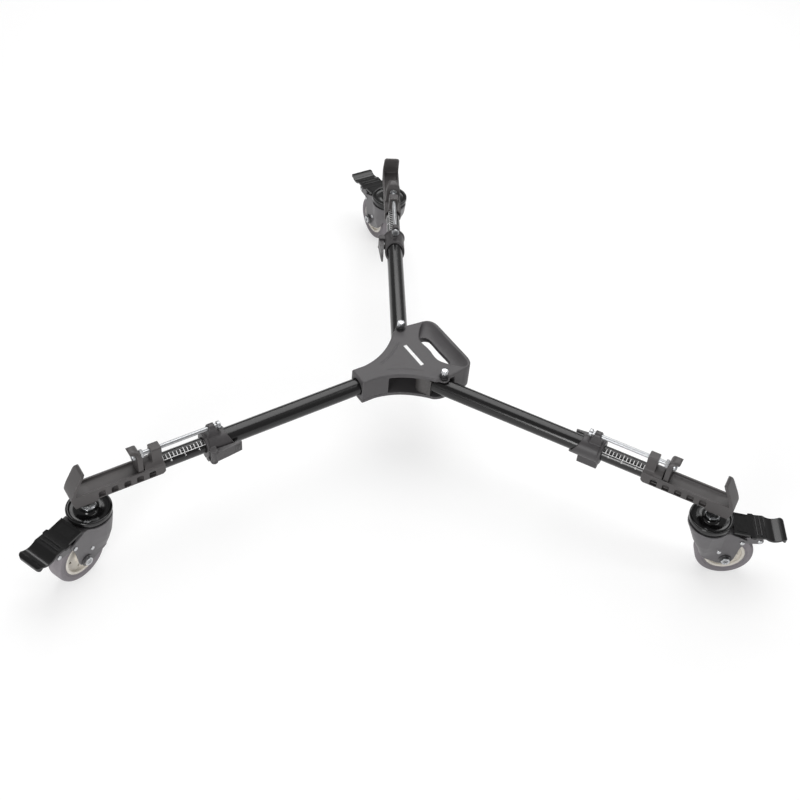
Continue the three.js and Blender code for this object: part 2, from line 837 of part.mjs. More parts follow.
function outerTube(folds) {
  if (!folds) return tube(outerTubeRadius, outerTubeInnerRadius, fixedTubeStart, outerTubeEnd);
  const whole = tube(outerTubeRadius, outerTubeInnerRadius, knuckleShoulder + fitGap, outerTubeEnd);
  return cut(whole, barZ(plungerPinRadius + fitGap, tubeAxisHeight, hubTop, pinSides, plungerReach));
}

function collarBarrel() {
  const profile = [
    [0, collarStart],
    [collarRadius, collarStart],
    [collarRadius, collarFlangeStart],
    [collarFlangeRadius, collarFlangeStart + fitGap],
    [collarFlangeRadius, collarEnd],
    [0, collarEnd],
  ];
  const barrel = turnedX(profile, tubeSides).translate(0, 0, tubeAxisHeight);
  const low = tubeAxisHeight - collarRadius - cutOverrun;
  const high = tubeAxisHeight + collarRadius + cutOverrun;
  const slant = polygon([
    [collarStart - cutOverrun, low],
    [collarStart + collarSlantBottomRun, low],
    [collarStart + collarSlantTopRun, high],
    [collarStart - cutOverrun, high],
  ]);
  return cut(barrel, prismY(slant, -collarRadius - cutOverrun, collarRadius + cutOverrun));
}

function collarEars() {
  const outline = new THREE.Shape();
  outline.moveTo(-collarEarHalfWidth, tubeAxisHeight);
  outline.lineTo(-collarEarHalfWidth, collarEarBottom + collarEarCorner);
  outline.quadraticCurveTo(
    -collarEarHalfWidth, collarEarBottom, -collarEarHalfWidth + collarEarCorner, collarEarBottom);
  outline.lineTo(collarEarHalfWidth - collarEarCorner, collarEarBottom);
  outline.quadraticCurveTo(
    collarEarHalfWidth, collarEarBottom, collarEarHalfWidth, collarEarBottom + collarEarCorner);
  outline.lineTo(collarEarHalfWidth, tubeAxisHeight);
  return prismX(outline, collarFlangeStart - collarEarLength, collarFlangeStart);
}

// The lug that guides the rod: tapered seen from the side, round-topped seen along the arm
function collarLug() {
  const side = polygon([
    [lugBaseStart, tubeAxisHeight],
    [lugBaseStart, tubeAxisHeight + collarRadius],
    [lugTopStart, rodAxisHeight + lugHalfWidth],
    [lugTopEnd, rodAxisHeight + lugHalfWidth],
    [collarFlangeStart, tubeAxisHeight + collarRadius],
    [collarFlangeStart, tubeAxisHeight],
  ]);
  const front = new THREE.Shape();
  front.moveTo(-lugHalfWidth, tubeAxisHeight);
  front.lineTo(lugHalfWidth, tubeAxisHeight);
  front.lineTo(lugHalfWidth, rodAxisHeight);
  front.absarc(0, rodAxisHeight, lugHalfWidth, 0, Math.PI, false);
  const margin = cutOverrun;
  return common(prismY(side, -lugHalfWidth - margin, lugHalfWidth + margin),
    prismX(front, lugBaseStart - margin, collarFlangeStart + margin));
}

function leverCheek(low) {
  const arm = block(
    leverPivotReach - leverCheekRadius, leverPivotReach + leverCheekRadius, outerTubeRadius / 2, leverPivotSide,
    low, low + leverCheekThickness);
  const eye = barZ(leverCheekRadius, low, low + leverCheekThickness, pinSides, leverPivotReach, leverPivotSide);
  return join(arm, eye);
}

function collar() {
  const footHeight = tubeAxisHeight + collarRadius - fitGap;
  const body = join(
    collarBarrel(),
    collarEars(),
    collarLug(),
    barX(lugFootRadius, lugFootStart, lugTopStart, holeSides, 0, footHeight),
    leverCheek(leverBottom - fitGap - leverCheekThickness),
    leverCheek(leverTop + fitGap),
  );
  const stepReach = outerTubeEnd + fitGap;
  const earLow = collarEarBottom - cutOverrun;
  return cut(
    body,
    barX(outerTubeRadius + fitGap, collarStart - cutOverrun, stepReach, tubeSides, 0, tubeAxisHeight),
    barX(
      innerTubeRadius + fitGap, stepReach - cutOverrun, collarEnd + cutOverrun,
      tubeSides, 0, tubeAxisHeight,
    ),
    barX(rodRadius + fitGap, lugFootStart - cutOverrun, collarEnd, pinSides, 0, rodAxisHeight),
    block(collarStart, collarEnd + cutOverrun, -collarSplit / 2, collarSplit / 2, earLow, tubeAxisHeight),
    barZ(leverPinRadius + fitGap, 0, hubTop, holeSides, leverPivotReach, leverPivotSide),
    barZ(leverKnuckleRadius + fitGap, leverBottom - fitGap, leverTop + fitGap, pinSides,
      leverPivotReach, leverPivotSide),
  );
}

// The lever, with the pin that is pressed through its knuckle
function lever() {
  const outer = leverPivotSide + leverKnuckleRadius;
  const shoulder = leverPivotReach - 2 * leverKnuckleRadius;
  const tip = leverPivotReach - leverLength;
  const blade = new THREE.Shape();
  blade.moveTo(leverPivotReach, outer);
  blade.quadraticCurveTo(shoulder, outer, tip, leverTipSide);
  blade.lineTo(tip, leverTipSide - leverTipThickness);
  blade.lineTo(shoulder, leverInnerSide);
  blade.lineTo(leverPivotReach, leverInnerSide);
  const pinLow = leverBottom - fitGap - leverCheekThickness;
  const pinHigh = leverTop + fitGap + leverCheekThickness;
  return join(
    prismZ(blade, leverBottom, leverTop),
    barZ(leverKnuckleRadius, leverBottom, leverTop, pinSides, leverPivotReach, leverPivotSide),
    barZ(leverPinRadius, pinLow, pinHigh, holeSides, leverPivotReach, leverPivotSide),
  );
}

// The cradle's outer section, down to a given height
function cradleSection(low) {
  const outline = new THREE.Shape();
  outline.moveTo(-cradleHalfWidth, cradleTop);
  outline.lineTo(-cradleHalfWidth, low + cradleCorner);
  outline.quadraticCurveTo(-cradleHalfWidth, low, -cradleHalfWidth + cradleCorner, low);
  outline.lineTo(cradleHalfWidth - cradleCorner, low);
  outline.quadraticCurveTo(cradleHalfWidth, low, cradleHalfWidth, low + cradleCorner);
  outline.lineTo(cradleHalfWidth, cradleTop);
  return outline;
}

// The channel's section, drawn in by an inset for what stands in it
function channelSection(floor, inset, top) {
  const outline = new THREE.Shape();
  const low = floor + inset;
  const narrow = channelFloorHalfWidth - inset;
  const wide = channelHalfWidth - inset;
  outline.moveTo(-narrow, low);
  outline.lineTo(narrow, low);
  outline.quadraticCurveTo(wide, low, wide, cradleTop);
  outline.lineTo(wide, top);
  outline.lineTo(-wide, top);
  outline.lineTo(-wide, cradleTop);
  outline.quadraticCurveTo(-wide, low, -narrow, low);
  return outline;
}

function bracketSection() {
  const outline = new THREE.Shape();
  outline.moveTo(-cradleHalfWidth, tubeAxisHeight);
  outline.lineTo(cradleHalfWidth, tubeAxisHeight);
  outline.lineTo(cradleHalfWidth, cradleTop);
  outline.quadraticCurveTo(bracketHalfWidth, cradleTop + bracketCorner, bracketHalfWidth, bracketNeck);
  outline.lineTo(bracketHalfWidth, bracketTop - bracketCorner);
  outline.quadraticCurveTo(bracketHalfWidth, bracketTop, bracketHalfWidth - bracketCorner, bracketTop);
  outline.lineTo(-bracketHalfWidth + bracketCorner, bracketTop);
  outline.quadraticCurveTo(-bracketHalfWidth, bracketTop, -bracketHalfWidth, bracketTop - bracketCorner);
  outline.lineTo(-bracketHalfWidth, bracketNeck);
  outline.quadraticCurveTo(-bracketHalfWidth, cradleTop + bracketCorner, -cradleHalfWidth, cradleTop);
  return outline;
}

// The end block over the kingpin and the lip that leans back from it over the channel
function endBlock() {
  const side = polygon([
    [endBlockStart, cradleBottom],
    [lipBottomReach, cradleBottom],
    [lipBendReach, lipBendHeight],
    [lipTipReach, lipTipHeight],
    [lipTipReach - lipThickness, lipTipHeight - lipThickness],
    [channelEnd, cradleTop],
    [channelEnd, channelUnderside],
    [endBlockStart, channelUnderside],
  ]);
  const front = new THREE.Shape();
  front.moveTo(-cradleHalfWidth + cradleCorner, cradleBottom);
  front.lineTo(cradleHalfWidth - cradleCorner, cradleBottom);
  front.quadraticCurveTo(cradleHalfWidth, cradleBottom, cradleHalfWidth, cradleBottom + cradleCorner);
  front.lineTo(cradleHalfWidth, cradleTop);
  front.lineTo(lipHalfWidth, lipShoulderHeight);
  front.quadraticCurveTo(lipHalfWidth, lipTipHeight, 0, lipTipHeight);
  front.quadraticCurveTo(-lipHalfWidth, lipTipHeight, -lipHalfWidth, lipShoulderHeight);
  front.lineTo(-cradleHalfWidth, cradleTop);
  front.lineTo(-cradleHalfWidth, cradleBottom + cradleCorner);
  front.quadraticCurveTo(-cradleHalfWidth, cradleBottom, -cradleHalfWidth + cradleCorner, cradleBottom);
  const margin = cutOverrun;
  return common(prismY(side, -cradleHalfWidth - margin, cradleHalfWidth + margin),
    prismX(front, endBlockStart - margin, lipBendReach + margin));
}

// The long part of the casting: the socket round the tube, then the channel with its ramp to the lip
function cradleBeam() {
  const end = channelEnd + cutOverrun;
  const seat = channelFloor - clawSeatDepth;
  const top = cradleTop + cutOverrun;
  const wide = 2 * cradleHalfWidth;
  const beam = cut(
    join(
      prismX(cradleSection(cradleWallBottom), cradleStart, end),
      barX(cradleHalfWidth, cradleStart, cradleSocketEnd, tubeSides, 0, tubeAxisHeight),
    ),
    prismX(channelSection(seat, 0, top), channelStart, clawEnd + fitGap),
    prismX(channelSection(channelFloor, 0, top), channelStart, end + cutOverrun),
    block(channelStart, end + cutOverrun, -wide, wide, cradleTop, bracketTop),
  );
  const ramp = polygon([
    [channelEnd - channelRampLength, channelFloor - channelRampRise],
    [end, channelFloor - channelRampRise],
    [end, channelFloor + channelRampRise],
    [channelEnd, channelFloor + channelRampRise],
    [channelEnd - channelRampLength, channelFloor],
  ]);
  return join(beam, prismY(ramp, -channelHalfWidth - fitGap, channelHalfWidth + fitGap));
}

// One side wall's blind pocket: round at the top, with a flat ledge at its foot
function cradlePocket(reach, side) {
  const outline = new THREE.Shape();
  const low = cradleWallBottom + cradlePocketLedge;
  const high = cradleTop - cradlePocketTopDrop - cradlePocketRadius;
  outline.moveTo(reach + cradlePocketRadius, low);
  outline.lineTo(reach + cradlePocketRadius, high);
  outline.absarc(reach, high, cradlePocketRadius, 0, Math.PI, false);
  outline.lineTo(reach - cradlePocketRadius, low);
  const inside = cradleHalfWidth - cradlePocketDepth;
  const outside = cradleHalfWidth + cutOverrun;
  return side > 0 ? prismY(outline, inside, outside) : prismY(outline, -outside, -inside);
}

function cradle() {
  const body = join(cradleBeam(), endBlock(), prismX(bracketSection(), bracketStart, bracketEnd));
  const wide = cradleHalfWidth + cutOverrun;
  const keel = tubeAxisHeight - cradleHalfWidth;
  const chamfer = polygon([
    [cradleStart - cutOverrun, keel - cutOverrun],
    [cradleStart + cradleChamfer, keel - cutOverrun],
    [cradleStart - cutOverrun, keel + cradleChamfer],
  ]);
  const hollowHalfWidth = cradleHalfWidth - cradleWall;
  const pockets = [];
  for (let i = 0; i < cradlePocketCount; i += 1) {
    const reach = cradlePocketFirst + i * cradlePocketPitch;
    pockets.push(cradlePocket(reach, 1), cradlePocket(reach, -1));
  }
  return cut(
    body,
    barX(
      innerTubeRadius + fitGap, cradleStart - cutOverrun, channelStart + runningGap,
      tubeSides, 0, tubeAxisHeight,
    ),
    block(
      cradleSocketEnd, endBlockStart + endBlockRecess, -hollowHalfWidth, hollowHalfWidth,
      0, channelUnderside,
    ),
    barX(rodRadius + fitGap, bracketStart - cutOverrun, bracketEnd + cutOverrun, pinSides, 0, rodAxisHeight),
    barZ(kingpinRadius + fitGap, 0, channelUnderside, pinSides, casterReach),
    prismY(chamfer, -wide, wide),
    ...pockets,
  );
}

// The claw: a round-topped plate seated in the channel, its top curled outwards over the rod's nut
function claw() {
  const floor = channelFloor - clawSeatDepth;
  const curlLow = clawTop - clawCurlThickness;
  const side = new THREE.Shape();
  side.moveTo(clawStart, floor);
  side.lineTo(clawEnd, floor);
  side.lineTo(clawEnd, rodAxisHeight + rodNutRadius);
  side.quadraticCurveTo(clawEnd, curlLow, clawCurlReach, curlLow - fitGap);
  side.lineTo(clawCurlReach, clawTop - fitGap);
  side.quadraticCurveTo(clawStart, clawTop + fitGap, clawStart, rodAxisHeight);
  const seat = cradleTop + fitGap;
  const front = new THREE.Shape();
  front.moveTo(-clawWidePartHalfWidth, seat);
  front.lineTo(clawWidePartHalfWidth, seat);
  front.lineTo(clawWidePartHalfWidth, clawArchStart);
  front.quadraticCurveTo(clawWidePartHalfWidth, clawTop, 0, clawTop);
  front.quadraticCurveTo(-clawWidePartHalfWidth, clawTop, -clawWidePartHalfWidth, clawArchStart);
  const margin = cutOverrun;
  const foot = prismX(channelSection(floor, fitGap, seat + margin), clawStart - margin, clawCurlReach + margin);
  const plate = join(foot, prismX(front, clawStart - margin, clawCurlReach + margin));
  const shaped = common(prismY(side, -clawWidePartHalfWidth - margin, clawWidePartHalfWidth + margin), plate);
  const hole = barX(rodRadius + fitGap, clawStart - margin, clawEnd + margin, pinSides, 0, rodAxisHeight);
  return cut(shaped, hole);
}

// The rod is the axis of its stop ring, its jam nut and its domed end nut
function guideRod() {
  const jam = clawStart - fitGap;
  const cap = clawEnd + fitGap;
  const dome = turnedX([
    [0, cap],
    [rodNutRadius, cap],
    [rodNutRadius, cap + rodCapLength / 2],
    [rodCapShoulderRadius, cap + rodCapShoulderLength],
    [0, cap + rodCapLength],
  ], pinSides).translate(0, 0, rodAxisHeight);
  return join(
    barX(rodRadius, rodStart, cap + rodCapLength / 2, pinSides, 0, rodAxisHeight),
    barX(rodRingRadius, rodStart, rodStart + rodRingLength, pinSides, 0, rodAxisHeight),
    barX(rodNutRadius, jam - rodNutLength, jam, hexSides, 0, rodAxisHeight),
    dome,
  );
}

// Kingpin: a headed bolt up through fork and race, its washer and nut, and the stem in the cradle
function kingpin() {
  const washer = raceTop + fitGap;
  const nut = washer + kingpinWasherHeight;
  const head = forkCrownBottom - fitGap;
  return join(
    barZ(kingpinRadius, head - kingpinHeadHeight, channelUnderside - fitGap, pinSides),
    barZ(kingpinHeadRadius, head - kingpinHeadHeight, head, pinSides),
    barZ(kingpinWasherRadius, washer, nut, tubeSides),
    barZ(kingpinNutRadius, nut, kingpinNutTop, hexSides),
  );
}

function race() {
  const bore = kingpinRadius + fitGap;
  const well = raceTop - raceWellDepth;
  const step = raceTop - raceRimHeight;
  return turnedZ([
    [bore, raceBottom],
    [raceLowerRadius, raceBottom],
    [raceLowerRadius, step],
    [raceRimRadius, step],
    [raceRimRadius, raceTop - raceRimSoftness],
    [raceRimRadius - raceRimSoftness, raceTop],
    [raceRimInnerRadius, raceTop],
    [raceRimInnerRadius, well],
    [raceBossRadius, well],
    [raceBossRadius, raceTop],
    [bore, raceTop],
    [bore, raceBottom],
  ], tubeSides);
}

// One ring of the fork's hood: a squarish round front that runs back into the two cheeks
function hoodRing({ height, reach, halfWidth, squareness }, back, inset) {
  const cheek = forkHalfWidth - inset;
  const ring = [new THREE.Vector3(back, cheek, height), new THREE.Vector3(forkCreaseX, cheek, height)];
  for (let i = 0; i <= hoodSteps; i += 1) {
    const angle = (Math.PI * i) / hoodSteps;
    const forward = (reach - inset) * Math.sin(angle) ** (2 / squareness);
    const aside = (halfWidth - inset) * Math.abs(Math.cos(angle)) ** (2 / squareness);
    ring.push(new THREE.Vector3(-forward, Math.sign(Math.cos(angle)) * aside, height));
  }
  ring.push(new THREE.Vector3(forkCreaseX, -cheek, height), new THREE.Vector3(back, -cheek, height));
  return ring;
}

// The fork seen from the side: the hood's front edge, the cheek down to the axle and its back edge
function forkSide() {
  const outline = new THREE.Shape();
  const front = -forkCrownRadius - cutOverrun;
  outline.moveTo(front, forkTop);
  outline.lineTo(front, hoodLipHeight);
  outline.lineTo(forkFrontX, hoodLipHeight);
  outline.quadraticCurveTo(forkFrontBendX, forkFrontBendZ, forkCheekX, forkCheekZ);
  outline.lineTo(forkToeX, forkToeZ);
  outline.quadraticCurveTo(wheelTrail, wheelRadius - forkAxleLobeDrop, wheelTrail + forkAxleLobe, wheelRadius);
  outline.lineTo(forkBackX, forkBackZ);
  outline.lineTo(forkBackTopX, forkBackTopZ);
  outline.lineTo(forkRoofX, forkTop);
  return outline;
}

function fork() {
  const wide = forkCrownRadius + cutOverrun;
  const inner = forkHalfWidth - forkWall;
  const back = forkBackTopX + cutOverrun;
  const outerSkin = loft(hoodSections.map((section) => hoodRing(section, back, 0)).reverse());
  const hood = common(outerSkin, prismY(forkSide(), -wide, wide));
  const innerRings = hoodSections.slice(1).map((section) => hoodRing(section, back + cutOverrun, forkWall));
  const openFront = block(-wide, back + cutOverrun, -inner, inner, 0, hoodLipHeight);
  return cut(
    join(cut(hood, loft(innerRings.reverse()), openFront),
      barZ(forkCrownRadius, forkTop - forkCrownDiscHeight, forkTop, wheelSides)),
    barZ(kingpinRadius + fitGap, 0, forkTop + cutOverrun, pinSides),
    barY(axleRadius + fitGap, -wide, wide, pinSides, wheelTrail, wheelRadius),
    barY(brakeRivetRadius + fitGap, -wide, wide, holeSides, brakePivotX, brakePivotZ),
  );
}

function tyre() {
  const inner = wheelCentreRadius + fitGap;
  const side = tyreHalfWidth;
  const profile = [
    [inner, -wheelRimHalfWidth],
    [wheelRadius - tyreShoulder, -side],
    [wheelRadius, -tyreTreadHalfWidth],
    [wheelRadius, tyreTreadHalfWidth],
    [wheelRadius - tyreShoulder, side],
    [inner, wheelRimHalfWidth],
    [inner, -wheelRimHalfWidth],
  ];
  return turnedY(profile, wheelSides);
}

function wheelCentre() {
  const bore = axleRadius + fitGap;
  const rim = wheelCentreRadius - wheelRimDepth;
  const disc = turnedY([
    [bore, -wheelHubHalfWidth],
    [wheelHubRadius, -wheelHubHalfWidth],
    [wheelHubRadius, -wheelWebHalfWidth],
    [rim, -wheelWebHalfWidth],
    [rim, -wheelRimHalfWidth],
    [wheelCentreRadius, -wheelRimHalfWidth],
    [wheelCentreRadius, wheelRimHalfWidth],
    [rim, wheelRimHalfWidth],
    [rim, wheelWebHalfWidth],
    [wheelHubRadius, wheelWebHalfWidth],
    [wheelHubRadius, wheelHubHalfWidth],
    [bore, wheelHubHalfWidth],
    [bore, -wheelHubHalfWidth],
  ], tubeSides);
  const holes = [];
  for (let i = 0; i < wheelHoleCount; i += 1) {
    const place = onArm((i * fullTurn) / wheelHoleCount, wheelHolePitchRadius);
    holes.push(barY(wheelHoleRadius, -wheelHubHalfWidth, wheelHubHalfWidth, holeSides, place.x, place.y));
  }
  return cut(disc, ...holes);
}

// The axle with a spacer, a washer and a nut at each end
function axle() {
  const washer = forkHalfWidth + fitGap;
  const nut = washer + axleWasherThickness;
  const spacerLow = wheelHubHalfWidth + fitGap;
  const spacerHigh = forkHalfWidth - forkWall - fitGap;
  const parts = [barY(axleRadius, -nut, nut, pinSides)];
  [-1, 1].forEach((side) => {
    const between = (low, high) => (side > 0 ? [low, high] : [-high, -low]);
    parts.push(barY(axleSpacerRadius, ...between(spacerLow, spacerHigh), pinSides));
    parts.push(barY(axleWasherRadius, ...between(washer, nut), pinSides));
    parts.push(barY(axleNutRadius, ...between(nut, nut + axleNutThickness), hexSides));
  });
  return join(...parts);
}

// Brake arm: two cheeks on short rivets, a bridge under the pedal and a pad shaped to the locked tyre
function brakeArm() {
  const outer = forkHalfWidth - forkWall - fitGap;
  const inner = outer - brakeArmPlate;
  const head = forkHalfWidth + fitGap;
  const cheekShape = polygon([
    [brakePivotX, brakePivotZ - brakeArmRadius],
    [brakeArmEndX, brakeArmEndZ - brakeArmRadius],
    [brakeArmEndX, brakeBridgeTop - fitGap],
    [brakeBridgeStart, brakeBridgeTop - fitGap],
    [brakePivotX, brakePivotZ + brakeArmRadius],
  ]);
  const parts = [
    block(brakeBridgeStart, brakeArmEndX, -outer, outer, brakeBridgeTop - brakeBridgeThickness, brakeBridgeTop),
    block(brakePadStart, brakePadEnd, -brakePadHalfWidth, brakePadHalfWidth, wheelRadius, brakeBridgeTop),
    block(brakePadStart, brakePadEnd, -outer, outer, brakePivotZ, brakeBridgeTop - brakeBridgeThickness),
  ];
  [-1, 1].forEach((side) => {
    const between = (low, high) => (side > 0 ? [low, high] : [-high, -low]);
    parts.push(prismY(cheekShape, ...between(inner, outer)));
    parts.push(barY(brakeRivetRadius, ...between(inner, head), holeSides, brakePivotX, brakePivotZ));
    parts.push(barY(brakeArmRadius, ...between(inner, outer), pinSides, brakePivotX, brakePivotZ));
    parts.push(barY(brakeArmRadius, ...between(inner, outer), pinSides, brakeArmEndX, brakeArmEndZ));
    const headSpan = between(head, head + brakeRivetHeadHeight);
    parts.push(barY(brakeRivetHeadRadius, ...headSpan, holeSides, brakePivotX, brakePivotZ));
  });
  const lock = THREE.MathUtils.degToRad(brakeLockAngle);
  const locked = new THREE.Vector2(wheelTrail, wheelRadius);
  locked.rotateAround(new THREE.Vector2(brakePivotX, brakePivotZ), lock);
  const spaceRadius = wheelRadius + runningGap;
  const tyreSpace = barY(spaceRadius, -tyreHalfWidth, tyreHalfWidth, wheelSides, locked.x, locked.y);
  return cut(join(...parts), tyreSpace);
}

function pedal() {
  const panelLow = pedalPanelTop - pedalThickness;
  const bandLow = pedalBandTop - pedalThickness;
  const side = new THREE.Shape();
  side.moveTo(pedalStart, pedalStartTop);
  side.lineTo(pedalPanelEnd, pedalPanelTop);
  side.lineTo(pedalBandStart, pedalBandTop);
  side.lineTo(pedalBandEnd, pedalBandTop);
  side.quadraticCurveTo(pedalScoopMiddle, 2 * pedalScoopTop - pedalBandTop, pedalRidge, pedalRidgeTop);
  side.quadraticCurveTo(pedalTip, pedalRidgeTop, pedalTip, pedalTipTop);
  side.lineTo(pedalTip, pedalTipBottom);
  side.lineTo(pedalTip - pedalThickness, pedalTipBottom);
  side.lineTo(pedalRidge - pedalThickness / 2, pedalRidgeTop - pedalThickness);
  side.quadraticCurveTo(
    pedalScoopMiddle, 2 * pedalScoopTop - pedalBandTop - pedalThickness, pedalBandEnd, bandLow);
  side.lineTo(pedalBandStart, bandLow);
  side.lineTo(pedalPanelEnd, panelLow);
  side.lineTo(pedalStart, pedalStartTop - pedalThickness);
  const earStart = pedalPanelEnd + pedalThickness;
  const half = [
    [pedalStart, pedalPanelHalfWidth],
    [earStart - pedalThickness / 2, pedalPanelHalfWidth],
    [earStart, pedalEarHalfWidth],
    [earStart + pedalEarLength, pedalEarHalfWidth],
    [earStart + pedalEarLength + pedalThickness / 2, pedalHalfWidth],
    [pedalTip - pedalCorner, pedalHalfWidth],
    [pedalTip, pedalHalfWidth - pedalCorner],
  ];
  const plan = polygon([...half, ...half.map(([x, y]) => [x, -y]).reverse()]);
  const margin = cutOverrun;
  return common(prismY(side, -pedalEarHalfWidth - margin, pedalEarHalfWidth + margin),
    prismZ(plan, 0, hubTop));
}

function addCaster(arm, name, turn) {
  const caster = new THREE.Group();
  caster.position.x = casterReach;
  caster.rotation.z = THREE.MathUtils.degToRad(turn);
  arm.add(caster);
  piece(caster, `kingpin_${name}`, kingpin(), 'brightSteel');
  piece(caster, `swivel_race_${name}`, race(), 'blackGloss');
  piece(caster, `caster_fork_${name}`, fork(), 'forkGrey');
  piece(caster, `brake_arm_${name}`, brakeArm(), 'forkGrey');
  piece(caster, `brake_pedal_${name}`, pedal(), 'blackGloss');
  const wheel = new THREE.Group();
  wheel.position.set(wheelTrail, 0, wheelRadius);
  wheel.rotation.y = Math.PI / wheelSides;
  caster.add(wheel);
  piece(wheel, `wheel_axle_${name}`, axle(), 'brightSteel');
  piece(wheel, `wheel_centre_${name}`, wheelCentre(), 'creamPlastic');
  piece(wheel, `tyre_${name}`, tyre(), 'tyreGrey');
}

function addArm(dolly, name, turn, casterTurn, folds) {
  const arm = new THREE.Group();
  arm.rotation.z = THREE.MathUtils.degToRad(turn);
  dolly.add(arm);
  if (folds) {
    piece(arm, `pivot_pin_${name}`, pivotPin(), 'brightSteel');
    piece(arm, `knuckle_${name}`, knuckle(), 'castGrey');
    const lock = new THREE.Group();
    lock.position.x = plungerReach;
    arm.add(lock);
    piece(lock, `plunger_bush_${name}`, plungerBush(), 'castHub');
    piece(lock, `plunger_${name}`, plunger(), 'brightSteel');
    piece(lock, `plunger_spring_${name}`, plungerSpring(), 'brightSteel');
  }
  piece(arm, `outer_tube_${name}`, outerTube(folds), 'blackTube');
  piece(arm, `clamp_collar_${name}`, collar(), 'darkPlastic');
  piece(arm, `cam_lever_${name}`, lever(), 'darkPlastic');
  piece(arm, `inner_tube_${name}`,
    tube(innerTubeRadius, innerTubeRadius - innerTubeWall, innerTubeStart, innerTubeEnd), 'blackTube');
  piece(arm, `foot_cradle_${name}`, cradle(), 'castGrey');
  piece(arm, `foot_claw_${name}`, claw(), 'castGrey');
  piece(arm, `guide_rod_${name}`, guideRod(), 'brightSteel');
  addCaster(arm, name, casterTurn);
}

const wasm = await Module();
wasm.setup();

const dolly = new THREE.Group();
piece(dolly, 'hub_body', hubBody(), 'castHub');
piece(dolly, 'hub_base_plate', basePlate(), 'castHub');
screwPlaces.forEach((place, i) => piece(dolly, `base_screw_${i + 1}`, baseScrew(place), 'brightSteel'));
addArm(dolly, 'fixed', fixedArmTurn, fixedCasterTurn, false);
addArm(dolly, 'left', leftArmTurn, leftCasterTurn, true);
addArm(dolly, 'right', rightArmTurn, rightCasterTurn, true);

// The origin is on the floor, under the middle of the whole dolly's box
dolly.updateMatrixWorld(true);
const box = new THREE.Box3().setFromObject(dolly, true);
const middle = box.getCenter(new THREE.Vector3());
dolly.position.set(-middle.x, -middle.y, -box.min.z);

export default dolly;
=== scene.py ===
import json
import math

import bpy
from mathutils import Matrix, Vector


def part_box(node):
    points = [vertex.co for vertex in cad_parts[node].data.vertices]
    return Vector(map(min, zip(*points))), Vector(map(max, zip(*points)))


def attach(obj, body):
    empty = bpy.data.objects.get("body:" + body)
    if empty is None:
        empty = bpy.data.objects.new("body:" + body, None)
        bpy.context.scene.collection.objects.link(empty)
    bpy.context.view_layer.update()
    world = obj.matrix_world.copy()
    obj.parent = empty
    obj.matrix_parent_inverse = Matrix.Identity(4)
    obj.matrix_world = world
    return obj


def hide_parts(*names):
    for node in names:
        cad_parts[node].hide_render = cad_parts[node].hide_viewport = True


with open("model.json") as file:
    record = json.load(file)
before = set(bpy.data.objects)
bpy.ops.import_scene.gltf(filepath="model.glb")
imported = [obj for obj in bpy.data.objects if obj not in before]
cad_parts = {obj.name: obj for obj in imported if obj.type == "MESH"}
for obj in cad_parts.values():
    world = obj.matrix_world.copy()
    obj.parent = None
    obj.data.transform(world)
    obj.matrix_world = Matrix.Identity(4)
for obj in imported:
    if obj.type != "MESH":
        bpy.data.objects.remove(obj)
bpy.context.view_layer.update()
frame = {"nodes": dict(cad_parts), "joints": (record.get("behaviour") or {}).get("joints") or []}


# The photographer's stage: a camera that looks down on the hub from beside the fixed arm, soft boxes
# overhead, and a pale floor that runs off to white. The camera's place was solved from the three arms.
camera_place = Vector((1.0356, -0.6153, 1.3154))
camera_heading = math.radians(53.95)
camera_pitch = math.radians(44.55)
camera_roll = math.radians(5.54)
camera_lens = 53.4
camera_sight = 50
# Each lamp has its place, the point that it faces, its width and depth, and its watts.
lamps = {
    "overhead_softbox": ((-0.6, 0.6, 2.6), (0, 0, 0.1), (2.2, 2.2), 42),
    "key_strip": ((-1.7, 1.4, 1.9), (0, 0, 0.1), (2.4, 0.6), 14),
    "side_strip": ((1.6, 1.7, 1.7), (0, 0, 0.1), (0.35, 2.0), 9),
    "front_softbox": ((1.4, -1.9, 0.9), (0.1, -0.2, 0.1), (0.8, 0.8), 26),
}
world_light = 0.3
floor_size = 14
floor_pale = 0.8
floor_shadow_share = 0.42
floor_glow = 0.6

scene = bpy.context.scene
scene.view_settings.view_transform = "Standard"
bpy.ops.object.camera_add(location=camera_place)
camera = bpy.context.object
camera.name = "camera"
camera.data.lens = camera_lens
camera.data.clip_end = camera_sight
aim = Matrix.Rotation(camera_heading, 4, "Z") @ Matrix.Rotation(math.pi / 2 - camera_pitch, 4, "X")
camera.matrix_world = Matrix.Translation(camera_place) @ aim @ Matrix.Rotation(camera_roll, 4, "Z")
scene.camera = camera

for name, (place, target, (width, depth), watts) in lamps.items():
    bpy.ops.object.light_add(type="AREA", location=place)
    lamp = bpy.context.object
    lamp.name = name
    lamp.data.shape = "RECTANGLE"
    lamp.data.size = width
    lamp.data.size_y = depth
    lamp.data.energy = watts
    lamp.rotation_euler = (Vector(target) - Vector(place)).to_track_quat("-Z", "Y").to_euler()


def add_node(tree, kind, inputs=(), **settings):
    node = tree.nodes.new(kind)
    for key, value in settings.items():
        setattr(node, key, value)
    for socket, value in inputs:
        if isinstance(value, bpy.types.NodeSocket):
            tree.links.new(value, node.inputs[socket])
        else:
            node.inputs[socket].default_value = value
    return node


def new_material(name):
    material = bpy.data.materials.new(name)
    material.use_nodes = True
    tree = material.node_tree
    tree.nodes.clear()
    return material, tree


def seen_directly(tree):
    """1 for what the camera sees, by itself or in a mirror, and 0 for the light that the object gets."""
    path = add_node(tree, "ShaderNodeLightPath")
    both = add_node(tree, "ShaderNodeMath", [(0, path.outputs["Is Camera Ray"]),
                    (1, path.outputs["Is Glossy Ray"])], operation="MAXIMUM")
    last = add_node(tree, "ShaderNodeMath", [(0, both.outputs[0]),
                    (1, path.outputs["Is Transmission Ray"])], operation="MAXIMUM")
    return last.outputs[0]


